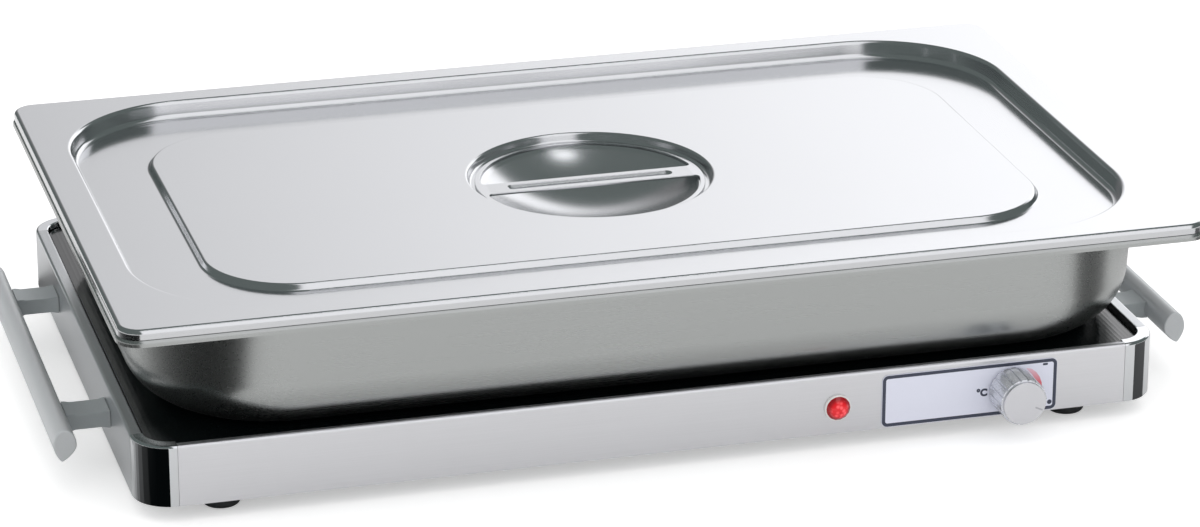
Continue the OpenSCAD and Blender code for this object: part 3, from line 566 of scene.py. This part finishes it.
def post_ring(reach, inset=0.0):
    """A ring of a post at a distance from the rail, or at the bar's own face if reach is None."""
    u = handle_gap if reach is None else reach
    off_middle = u - handle_gap / 2
    height = math.sqrt(waist_r ** 2 - off_middle ** 2)
    bow, slope = waist_r - height, off_middle / height
    half_w = post_w / 2 - max(0, waist_in - bow) - inset
    half_h = post_h / 2 - max(0, hollow_in - bow) - inset
    radius, ways = corners_of(2 * half_w, 2 * half_h, post_edge, 3)
    points = []
    for cy, cz, dy, dz in ways:
        y, z = cy + radius * dy, cz + radius * dz
        x = u
        if reach is None:
            low = max(0, -2 * z / bar_h) ** 2
            half = bar_w / 2 * math.sqrt(1 - (2 * z / bar_h) ** 2) * (1 - bar_narrow * low)
            x += bar_w / 2 - half + bar_shift * low - joint_line
        points.append(((tray_half + x, y, handle_z + z), (-slope, dy, dz)))
    return points


def facing(ring_points, normal):
    return [(point, normal) for point, _ in ring_points]


# A post stops short of the rail and of the bar by the joint line, and a thinner core inside it
# runs on to both.
post_rings = [post_ring(reach)
              for reach in evenly(joint_line, handle_gap - post_stop, post_steps) + [None]]
core = [post_ring(0, joint_inset), post_ring(handle_gap + core_in, joint_inset)]
post_faces = skin(post_rings) + skin(core)
for start, end in ((post_rings[0], post_rings[-1]), core):
    post_faces += [facing(start, (-1, 0, 0))[::-1], facing(end, (1, 0, 0))]


def half_turn(faces):
    """The same faces turned half round the tray's upright axis, for the left side."""
    return [[((-x, -y, z), (-a, -b, c)) for (x, y, z), (a, b, c) in face] for face in faces]


# Satin grey moulded plastic with a metallic fleck: a broad soft highlight along the bar. The
# posts are the same plastic, painted a shade darker than the bar as painted shade.
handle_grey, post_painted_shade_grey = (
    finish(name, colour, 0.42, (0.8, 0.8, 0.8), shade=0.03, spread=0.04, relief=0.006,
           Metallic=0.25)
    for name, colour in (("satin_grey_moulded_plastic", "#C6C9CB"),
                         ("satin_grey_moulded_plastic_painted_shade", "#A3A9AB")))
for side, bar, post in (("left", half_turn(bar_faces), half_turn(post_faces)),
                        ("right", bar_faces, post_faces)):
    show(build(f"{side}_bar", bar), handle_grey, "tray", "handle_grey", f"{side}_handle_bar")
    for end_name, end_sign in (("front", -1), ("rear", 1)):
        centre = (0, end_sign * post_pitch / 2, 0)
        show(build(f"{side}_{end_name}_post", post, centre), post_painted_shade_grey,
             "tray", "handle_grey", f"{side}_{end_name}_handle_post")


# ------------------------------------------------------------------ dial plate
# A printed aluminium label, 0.5 mm thick, stuck on the front panel round the knob. Its print
# is a dark border, a degree mark, an off dot, a dash and a red wedge that widens with heat.
def cut_sheet(name, loops, thickness, edge=0.0):
    """A flat sheet in the XY plane, centred on z 0, cut to these loops of (x, y) points."""
    outline = bpy.data.curves.new(name, "CURVE")
    outline.dimensions, outline.fill_mode = "2D", "BOTH"
    outline.extrude = (thickness / 2 - edge) * MM
    outline.bevel_depth, outline.offset, outline.bevel_resolution = edge * MM, -edge * MM, 2
    for loop in loops:
        spline = outline.splines.new("POLY")
        spline.points.add(len(loop) - 1)
        spline.points.foreach_set("co", [c for x, y in loop for c in (x * MM, y * MM, 0, 1)])
        spline.use_cyclic_u = True
    return outline_mesh(name, outline)


def outline_mesh(name, outline, weld=0.002):
    """A curve or lettering made into a welded mesh with its faces outwards."""
    holder = bpy.data.objects.new(name, outline)
    bpy.context.scene.collection.objects.link(holder)
    bpy.context.view_layer.update()
    ready = holder.evaluated_get(bpy.context.evaluated_depsgraph_get())
    mesh = bpy.data.meshes.new_from_object(ready)
    bpy.data.objects.remove(holder)
    shape = bmesh.new()
    shape.from_mesh(mesh)
    bmesh.ops.remove_doubles(shape, verts=shape.verts, dist=weld * MM)
    bmesh.ops.recalc_face_normals(shape, faces=shape.faces)
    shape.to_mesh(mesh)
    shape.free()
    mesh.name = name
    return mesh


def loop_of(length, width, radius, out=0.0, centre=(0, 0), steps=8):
    """The (x, y) points of a rounded rectangle, grown by out."""
    return [(point[0] + centre[0], point[1] + centre[1])
            for point, _ in ring(corners_of(length, width, radius, steps), out, 0, 0)]


dial_l, dial_h, dial_r = 89.4, 26.8, 3
dial_centre, dial_face = (153.4, 22.6), -157.0
knob_x, knob_z = 174.6, 22.2
border_in, border_w, ink_t = 0.15, 1.7, 0.06
dot_size, dot_at = 2.4, (194.7, 13.1)
dash_l, dash_h, dash_r, dash_at = 2.6, 1.1, 0.4, (191.9, 33.2)
wedge = [(52, 12.3, 12.7), (42, 12.2, 13.9), (30, 12.4, 14.7), (18, 12.8, 15.3),
         (6, 13.2, 15.8), (-6, 13.6, 16.2), (-12, 13.9, 15.9)]   # angle, inner and outer radius
pale_z, red_z = 32, 24                  # heights between which the wedge's red pales


def round_knob(angle, radius):
    return (knob_x + radius * math.cos(math.radians(angle)),
            knob_z + radius * math.sin(math.radians(angle)))


marks = {
    "dial_border": [loop_of(dial_l, dial_h, dial_r, -border_in, dial_centre),
                    loop_of(dial_l, dial_h, dial_r, -border_in - border_w, dial_centre)],
    "dial_off_dot": [loop_of(dot_size, dot_size, dot_size / 2, 0, dot_at, 6)],
    "dial_dash": [loop_of(dash_l, dash_h, dash_r, 0, dash_at, 3)],
    "dial_heat_wedge": [[round_knob(a, outer) for a, _, outer in wedge]
                        + [round_knob(a, inner) for a, inner, _ in wedge[::-1]]],
}
# Printed aluminium label: pale bluish grey satin lacquer.
label_lacquer = finish("lacquered_aluminium_label", "#E0E2F0", 0.42, (1.5, 1.5, 1.5),
                       shade=0.012, spread=0.04)
dress(label_lacquer, "dial_plate")
# Screen printed inks: flat slate blue, and red that pales at its cool end.
slate_ink = finish("screen_printed_slate_ink", "#3A3F50", 0.5, (0.6, 0.6, 0.6), shade=0.08)
red_ink, tree = new_material("screen_printed_red_ink")
height = add(tree, "ShaderNodeSeparateXYZ", {0: position(tree)}).outputs["Z"]
cool = ramp(tree, height, red_z * MM, pale_z * MM)
principled(tree, {
    "Base Color": blend(tree, cool, srgb("#DC6A76"), srgb("#E6C4D2")), "Roughness": 0.5})

degree_size, degree_bold, degree_at = 5.0, 0.3, (159.6, 21.6, 0)
degree = bpy.data.curves.new("dial_degree_mark", "FONT")
degree.body, degree.size, degree.extrude = "°C", degree_size * MM, ink_t / 2 * MM
degree.align_x, degree.align_y, degree.offset = "CENTER", "CENTER", degree_bold * MM
degree_mesh = outline_mesh("dial_degree_mark", degree)
degree_mesh.transform(Matrix.Translation(Vector(degree_at) * MM))
prints = {name: cut_sheet(name, loops, ink_t) for name, loops in marks.items()}
prints["dial_degree_mark"] = degree_mesh
stand_up = Matrix.Translation((0, dial_face * MM, 0)) @ Matrix.Rotation(math.pi / 2, 4, "X")
for name, mesh in prints.items():
    mesh.transform(stand_up)
    show(mesh, red_ink if name == "dial_heat_wedge" else slate_ink, "tray", "dial_print")


# ------------------------------------------------------------------ thermostat and its feeler
# A capillary thermostat behind the panel, its bush held by a nut under the knob, with a copper
# feeler clipped under the plate and a thermal cut-out beside it.
# Moulded phenolic: dark brown black, slightly glossy.
phenolic = finish("moulded_phenolic", "#26221F", 0.34, (0.8, 0.8, 0.8), shade=0.15,
                  spread=0.06, relief=0.008)
dress(phenolic, "thermostat_body", "thermal_cutout")
# Drawn copper: warm and softly tarnished.
dress(finish("drawn_copper", "#C08660", 0.3, (8, 1, 1), shade=0.1, spread=0.08,
             Metallic=1.0), "sensor_bulb")
# Turned steel spindle with fine rings from the tool.
dress(finish("turned_steel", "#B9BCBE", 0.25, (8, 0.4, 8), shade=0.05, spread=0.05,
             relief=0.004, Metallic=1.0), "thermostat_shaft")


# ------------------------------------------------------------------ pilot lamp
# A neon lamp: an ivory body behind the panel, a thin pale bezel in front, and a red dome that
# is cut in facets to spread the glow.
lamp_x, lamp_z, lamp_front, lens_r, lens_deep = 86.3, 22.2, -156.5, 6.3, 1.5
dome_r, dome_back, facets = 7.5, 2.9, 14
facet_rows = [(lens_r, 0), (4.3, 0.5), (2.9, 0), (1.4, 0.5)]    # radius, and facets turned by
prism_size, dark_from, dark_to = 2.1, 3.6, 5.6      # and where the dome darkens to its rim


def dome_y(radius):
    return lamp_front + dome_back - math.sqrt(dome_r ** 2 - radius ** 2)


lens_rows = [(lens_r, lamp_front + lens_deep, 0)]
lens_rows += [(radius, dome_y(radius), shift) for radius, shift in facet_rows]
lens_points, lens_faces = [], []
for radius, y, shift in lens_rows:
    for i in range(facets):
        a = 2 * math.pi * (i + shift) / facets
        lens_points.append((lamp_x + radius * math.cos(a), y, lamp_z + radius * math.sin(a)))
for row, (one, other) in enumerate(zip(lens_rows, lens_rows[1:])):
    for i in range(facets):
        a, b = row * facets + i, row * facets + (i + 1) % facets
        c, d = a + facets, b + facets
        if one[2] == other[2]:
            lens_faces.append((a, b, d, c))
        elif one[2] < other[2]:
            lens_faces += [(a, b, c), (b, d, c)]
        else:
            lens_faces += [(a, b, d), (a, d, c)]
top = len(lens_points)
lens_points.append((lamp_x, dome_y(0), lamp_z))
lens_faces += [(top - facets + i, top - facets + (i + 1) % facets, top) for i in range(facets)]
lens_faces.append(tuple(range(facets))[::-1])
lens_mesh = make_mesh("lamp_dome", lens_points, lens_faces)


def distance(tree, spot, point):
    """How far each spot is from a point, which is given in millimetres."""
    return add(tree, "ShaderNodeVectorMath", {0: spot, 1: [c * MM for c in point]},
               operation="DISTANCE").outputs["Value"]


# Red polycarbonate: painted shade deep red at the rim, painted glints in paler prism cells.
red_lens, tree = new_material("red_polycarbonate_dome")
rim_painted_shade = ramp(tree, distance(tree, position(tree), (lamp_x, dome_y(0), lamp_z)),
                dark_from * MM, dark_to * MM)
cells = add(tree, "ShaderNodeTexVoronoi", {
    "Vector": position(tree), "Scale": 1 / (prism_size * MM)})
# Paler cells are painted glints of light in the inside prisms; the glow carries them too.
prism_glint = ramp(tree, cells.outputs["Distance"], 0.15, 0.6, 1.0, 0.0)
glow = blend(tree, prism_glint, srgb("#D5101C"), srgb("#FF5A60"))
edged = blend(tree, rim_painted_shade, glow, srgb("#8A0A14"))
principled(tree, {"Base Color": edged, "Roughness": 0.16, "IOR": 1.58,
                  "Emission Color": edged, "Emission Strength": 0.22})
show(lens_mesh, red_lens, "tray", "red_lens", "pilot_lamp_lens")
# Moulded nylon: a smooth warm white bezel, and the ivory body.
dress(finish("moulded_white_nylon", "#E4E2E0", 0.35, (1, 1, 1), shade=0.02, spread=0.05),
      "pilot_lamp_bezel")
ivory = finish("moulded_ivory_nylon", "#E6DFC6", 0.4, (1, 1, 1), shade=0.04, spread=0.06,
               relief=0.006)
dress(ivory, "pilot_lamp_body", "terminal_block")


# ------------------------------------------------------------------ wiring and cable gland
# Leads in glass sleeving join the terminal block, the controls and the heater. The mains
# cable's nylon gland stands on the rear panel, with its locknut inside.
# Plated brass stud for the earth lead.
dress(finish("machined_brass", "#C9A24E", 0.28, (1, 1, 0.5), shade=0.08, spread=0.08,
             Metallic=1.0), "earth_stud")
# Varnished glass sleeving: red brown with a braid a millimetre wide.
dress(finish("varnished_glass_sleeving", "#8E3B30", 0.55, (1, 1, 1), shade=0.25,
             spread=0.1, relief=0.05), "internal_leads")
# Glass filled nylon: dull black, faintly speckled.
black_nylon = finish("moulded_black_nylon", "#1C1D1F", 0.44, (0.7, 0.7, 0.7), shade=0.2,
                     spread=0.08, relief=0.012)
dress(black_nylon, "gland_body", "gland_cap", "gland_locknut")
dress(seal_rubber, "gland_seal")


# ------------------------------------------------------------------ knob
# The thermostat knob: a silver lacquered plastic body with shallow flutes, and a thin
# aluminium cap in front with a short pointer line. It is pushed on the spindle.
knob_r, knob_back, knob_step, knob_front = 11.75, -158.2, -174.9, -176.47
flute_count, flute_w, flute_d, cap_r, cap_edge = 18, 1.1, 0.5, 10.8, 0.35
shoulder_w, shoulder_d = 0.55, 0.85     # where a flute bends, in shares of its half and depth
front_round, front_mid, back_round, crisp_angle, knob_weld = 0.6, 0.18, 0.4, 28, 0.005
sector = 2 * math.pi / flute_count
half_flute = flute_w / knob_r / 2
half_land = sector / 2 - half_flute


def land_row(y, drawn_in):
    """Points across one land and half a flute on each side of it, round the Y axis."""
    half = [(sector / 2, flute_d), (sector / 2 - shoulder_w * half_flute, shoulder_d * flute_d)]
    land = [(a, 0) for a in evenly(-half_land, half_land, 6)]
    row = []
    for a, depth in [(-a, depth) for a, depth in half] + land + half[::-1]:
        radius = knob_r - max(drawn_in, depth)
        row.append((radius * math.sin(a), y, radius * math.cos(a)))
    return row


land_rows = [land_row(knob_back, back_round), land_row(knob_back - back_round, 0),
             land_row(knob_step + front_round, 0), land_row(knob_step + front_mid, front_mid),
             land_row(knob_step, front_round)]
across = len(land_rows[0])
land_points = [p for row in land_rows for p in row]
land_faces = [(i, i + across, i + across + 1, i + 1)
              for r in range(len(land_rows) - 1)
              for i in range(r * across, r * across + across - 1)]
for first, y in ((0, knob_back), (across * (len(land_rows) - 1), knob_step)):
    middle = len(land_points)
    land_points.append((0, y, 0))
    land_faces += [(i, i + 1, middle) if first == 0 else (i + 1, i, middle)
                   for i in range(first, first + across - 1)]

turn_tree, given, end = geometry_tree("copies_round_y", [("Count", "Int"), ("Centre", "Vector")])
line = add(turn_tree, "GeometryNodeMeshLine", {
    "Count": given["Count"], "Offset": [0.0, 0.0, 0.0]})
angle = calc(turn_tree, "MULTIPLY", add(turn_tree, "GeometryNodeInputIndex"),
             calc(turn_tree, "DIVIDE", 2 * math.pi, given["Count"]))
heading = add(turn_tree, "ShaderNodeCombineXYZ", {1: angle})
copies = add(turn_tree, "GeometryNodeInstanceOnPoints", {
    "Points": line, "Instance": given["Geometry"], "Rotation": heading})
seated = add(turn_tree, "GeometryNodeTranslateInstances", {
    "Instances": copies, "Translation": given["Centre"], "Local Space": False})
real = add(turn_tree, "GeometryNodeRealizeInstances", {0: seated})
welded = add(turn_tree, "GeometryNodeMergeByDistance", {
    "Geometry": real, "Distance": knob_weld * MM})
turn_tree.links.new(welded.outputs[0], end.inputs[0])

# Silver lacquer on plastic: a fine metallic fleck under a satin coat.
knob_silver = finish("silver_lacquered_plastic", "#DADCE2", 0.26, (0.35, 0.35, 0.35),
                     shade=0.05, spread=0.05, Metallic=0.6)
knob_mesh = grow(make_mesh("knob_grip", land_points, land_faces), turn_tree, {
    "Count": flute_count, "Centre": (knob_x * MM, 0.0, knob_z * MM)})
knob_mesh.shade_smooth()
knob_mesh.set_sharp_from_angle(angle=math.radians(crisp_angle))
show(knob_mesh, knob_silver, "knob", "knob_silver", "knob_body")

# Spun aluminium cap: fine circles on a pale satin face.
cap_metal, tree = new_material("spun_aluminium_cap")
circle_gap = 0.25
from_axis = distance(tree, position(tree), (knob_x, knob_front, knob_z))
circles = add(tree, "ShaderNodeTexNoise", {
    "W": calc(tree, "MULTIPLY", from_axis, 1 / (circle_gap * MM)), "Scale": 1.0, "Detail": 2.0},
    noise_dimensions="1D").outputs["Fac"]
principled(tree, {
    "Base Color": blend(tree, circles, srgb("#D2D2D6"), srgb("#DEDEE2")),
    "Roughness": ramp(tree, circles, 0, 1, 0.26, 0.4), "Metallic": 0.8})

# The cap's face, built looking up and turned to look out of the front, round the knob.
cap_t = knob_step - knob_front
cap_axis = circle(16)
cap_section = [(cap_axis, 0, 0, 180), (cap_axis, cap_r, 0, 180), (cap_axis, cap_r, 0, 90),
               *bend(cap_axis, cap_r - cap_edge, cap_t - cap_edge, cap_edge, (90, 0), 3),
               (cap_axis, 0, cap_t, 0)]
cap_faces = [[((knob_x + x, knob_step - z, knob_z + y), (a, -c, b))
              for (x, y, z), (a, b, c) in face]
             for face in skin([ring(*point) for point in cap_section])]
show(build("knob_face", cap_faces), cap_metal, "knob", "knob_silver", "knob_cap")

pointer_l, pointer_w, pointer_r, pointer_t = 4.2, 0.8, 0.35, 0.05
pointer_in, off_angle = 0.8, -25
pointer_at = (cap_r - pointer_in - pointer_l / 2, 0)
pointer = cut_sheet(
    "knob_pointer", [loop_of(pointer_l, pointer_w, pointer_r, 0, pointer_at, 3)], pointer_t)
pointer.transform(Matrix.Translation(Vector((knob_x, knob_front, knob_z)) * MM)
                  @ Matrix.Rotation(math.pi / 2, 4, "X")
                  @ Matrix.Rotation(math.radians(off_angle), 4, "Z"))
# Stamped pointer line: greyer than the cap round it.
pointer_grey = finish("stamped_pointer_line", "#B4B4BA", 0.45, (0.5, 0.5, 0.5), shade=0.06,
                      Metallic=0.4)
show(pointer, pointer_grey, "knob", "knob_silver")


# ------------------------------------------------------------------ food pan
# A gastronorm 1/1 pan, deep drawn from 0.8 mm stainless steel: a turned-down rim, walls that
# lean out a little and a wide fillet to the flat floor. It only stands on the plate.
def floor_in(drop, upper, fillet, lean):
    """Where the lower flat starts under a drawn wall, outward from the wall's outline."""
    tilt = math.radians(lean)
    return upper - (fillet + upper - math.sin(tilt) * (upper + fillet - drop)) / math.cos(tilt)


pan_at = (5.3, -5, 0)
steel_t, pan_rim_z, pan_drop = 0.8, 97.4, 60.6
pan_rim = corners_of(531.6, 326.6, 11.8)
pan_corner = 74
pan_wall = corners_of(505, 304, pan_corner)
pan_edge, pan_skirt, pan_bend, pan_fillet, pan_lean = 2, 3.4, 2.4, 27, 3
pan_low = floor_in(pan_drop, pan_bend, pan_fillet, pan_lean)
pan_section = [
    (pan_rim, 0, pan_rim_z - pan_skirt, 90),
    *bend(pan_rim, -pan_edge, pan_rim_z - pan_edge, pan_edge, (90, 0), 10),
    *bend(pan_wall, pan_bend, pan_rim_z - pan_bend, pan_bend, (0, pan_lean - 90), 12),
    *bend(pan_wall, pan_low, pan_rim_z - pan_drop + pan_fillet, pan_fillet,
          (pan_lean - 90, 0), 24, hollow=True),
    (pan_wall, -pan_corner, pan_rim_z - pan_drop, 0)]


def pressed_sheet(name, section):
    """Sheet steel in the pan's place whose upper face follows a section from the outer edge to
    the middle; each section point is what ring takes."""
    upper = [ring(*point) for point in section]
    lower = [[(tuple(p - steel_t * n for p, n in zip(point, normal)),
               tuple(-n for n in normal)) for point, normal in one] for one in upper]
    down = (0, 0, -1)
    edge = [facing(upper[0], down), facing(lower[0], down)]
    faces = skin(upper) + skin(lower, inside_out=True) + skin(edge, inside_out=True)
    faces += [flat(upper[-1]), flat(lower[-1], down=True)]
    return build(name, faces, pan_at)


def drawn_steel(name, colour, roughness, ripple, ripple_size, bowl=None):
    """Deep drawn stainless: fine polishing lines, slow ripples from the die, faint smears.
    bowl is a middle, a radius and the roughness that the sheet keeps inside it."""
    material, tree = new_material(name)
    lines = noise(tree, (45, 0.6, 0.6), 2.0)
    slow = noise(tree, [ripple_size] * 3, 1.0)
    smear = noise(tree, (120, 120, 120), 4.0)
    rough = ramp(tree, calc(tree, "MULTIPLY", lines, smear), 0.1, 0.45,
                 roughness - 0.02, roughness + 0.025)
    if bowl:
        middle, radius, dull = bowl
        level = add(tree, "ShaderNodeVectorMath", {0: position(tree), 1: [1.0, 1.0, 0.0]},
                    operation="MULTIPLY")
        polished = ramp(tree, distance(tree, level, middle), (radius - 1) * MM,
                        (radius + 1) * MM, dull, 0.0)
        rough = calc(tree, "MAXIMUM", rough, polished)
    base = srgb(colour)
    principled(tree, {
        "Base Color": blend(tree, lines, [c * 0.985 for c in base[:3]] + [1], base),
        "Roughness": rough, "Metallic": 1.0, "Normal": bumped(tree, slow, ripple)})
    return material


# Drawn stainless with a dull silky outside, which blurs the black plate below it.
# Its colour is a painted shade darker than the lid's steel, which is the same sheet.
pan_steel = drawn_steel("drawn_stainless_silky_painted_shade", "#AEB0AF", 0.28, 0.03, 60)
show(pressed_sheet("pan_sheet", pan_section), pan_steel, "pan", "pan_steel", "food_pan")


# ------------------------------------------------------------------ lid
# The lift-off lid, pressed from the same sheet and polished: a turned rim, a recess to stack
# another pan on, a raised middle panel and a round dish with a bowl under the grip.
lid_z, lid_skirt, lid_edge = 102, 4.6, 2.2
lid_rim = corners_of(530, 325, 11)
recess, recess_drop, recess_lean = corners_of(492.5, 292.5, 66), 9, 10
recess_bend, recess_fillet = 2, 2.8
raised, raised_rise, raised_lean = corners_of(418, 219.5, 44), 3, 30
raised_bend, raised_fillet = 1.5, 1.5
dish_r, dish_drop, dish_bend, dish_lean, bowl_r, bowl_depth = 61, 4.5, 1.4, 12, 54.5, 17
dish = circle()
recess_z = lid_z - recess_drop
raised_z = recess_z + raised_rise
ledge_z = raised_z - dish_drop
recess_low = floor_in(recess_drop, recess_bend, recess_fillet, recess_lean)
raised_low = -floor_in(raised_rise, raised_bend, raised_fillet, raised_lean)
dish_low = floor_in(dish_drop, dish_bend, dish_bend, dish_lean)
ball = (bowl_r ** 2 + bowl_depth ** 2) / (2 * bowl_depth)
bowl_tilt = -math.degrees(math.asin(bowl_r / ball))
lid_section = [
    (lid_rim, 0, lid_z - lid_skirt, 90),
    *bend(lid_rim, -lid_edge, lid_z - lid_edge, lid_edge, (90, 0), 10),
    *bend(recess, recess_bend, lid_z - recess_bend, recess_bend, (0, recess_lean - 90), 14),
    *bend(recess, recess_low, recess_z + recess_fillet, recess_fillet,
          (recess_lean - 90, 0), 14, hollow=True),
    *bend(raised, raised_low, recess_z + raised_fillet, raised_fillet,
          (0, 90 - raised_lean), 8, hollow=True),
    *bend(raised, -raised_bend, raised_z - raised_bend, raised_bend, (90 - raised_lean, 0), 8),
    *bend(dish, dish_r + dish_bend, raised_z - dish_bend, dish_bend, (0, dish_lean - 90), 10),
    *bend(dish, dish_r + dish_low, ledge_z + dish_bend, dish_bend,
          (dish_lean - 90, 0), 10, hollow=True),
    (dish, bowl_r, ledge_z, 0),
    *bend(dish, 0, ledge_z - bowl_depth + ball, ball, (bowl_tilt, 0), 24, hollow=True)]
# Polished stainless: near mirror flats that slowly ripple, crisp dark lines at the bends.
lid_steel = drawn_steel("drawn_stainless_polished", "#CFD0D2", 0.15, 0.02, 90,
                        bowl=(pan_at, bowl_r - 1.5, 0.22))
show(pressed_sheet("lid_sheet", lid_section), lid_steel, "lid", "lid_steel", "lid_shell")


# ------------------------------------------------------------------ lid grip
# A ring spot welded to the dish's ledge, with a strap across the bowl to lift the lid by. A
# long groove pressed in the strap stiffens it.
grip_t, grip_edge, ring_out, ring_in, strap_w = 1.2, 0.3, 57.6, 55, 14
groove_l, groove_w, groove_bend, groove_lean, groove_drop = 85, 6, 0.8, 55, 1.3
lip_in, lip_drop = 0.1, 0.4
corner, corner_steps, arc_steps = 2.5, 6, 64    # rounding of the two finger openings
grip_z = ledge_z + grip_t


def finger_opening(side):
    """A D-shaped hole between the ring and the strap's edge."""
    edge_y = strap_w / 2
    corner_x = math.sqrt((ring_in - corner) ** 2 - (edge_y + corner) ** 2)
    swing = math.atan2(edge_y + corner, corner_x)
    rounded = [(corner_x + corner * math.cos(a), edge_y + corner + corner * math.sin(a))
               for a in evenly(-math.pi / 2, swing, corner_steps)]
    arc = [(ring_in * math.cos(a), ring_in * math.sin(a))
           for a in evenly(swing, math.pi - swing, arc_steps)[1:-1]]
    points = rounded + arc + [(-x, y) for x, y in rounded[::-1]]
    return [(x, side * y) for x, y in points]


grip_sheet = cut_sheet("grip_strap", [
    loop_of(2 * ring_out, 2 * ring_out, ring_out, steps=32), finger_opening(1),
    finger_opening(-1), loop_of(groove_l, groove_w, groove_w / 2, steps=12)], grip_t, grip_edge)
grip_sheet.transform(Matrix.Translation(
    Vector((pan_at[0], pan_at[1], ledge_z + grip_t / 2)) * MM))


def level_faces(mesh, heights, near=0.01):
    """Flat faces at these heights shade flat, and the rounded edges round them stay smooth."""
    mesh.shade_smooth()
    ways = []
    for vertex in mesh.vertices:
        z = vertex.co.z / MM
        ways.append(next(((0, 0, way) for level, way in heights if abs(z - level) < near),
                         (0, 0, 0)))
    mesh.normals_split_custom_set_from_vertices(ways)


level_faces(grip_sheet, ((grip_z, 1), (ledge_z, -1)))
show(grip_sheet, lid_steel, "lid", "lid_steel", "lid_grip")

# The groove's trough, which runs on from the rounded lip of the strap's slot.
groove = corners_of(groove_l, groove_w, groove_w / 2, 12)
floor_z = grip_z - groove_drop
lip_z = grip_z - lip_drop
lean = math.radians(groove_lean)
foot_out = lip_in - math.tan(lean) * (lip_z - floor_z - groove_bend * (1 - math.sin(lean)))
groove_section = [
    (groove, lip_in, lip_z, groove_lean - 90),
    *bend(groove, foot_out - groove_bend * math.cos(lean), floor_z + groove_bend, groove_bend,
          (groove_lean - 90, 0), 6, hollow=True),
    (groove, -groove_w / 2, floor_z, 0)]
show(pressed_sheet("grip_groove", groove_section), lid_steel, "lid", "lid_steel")
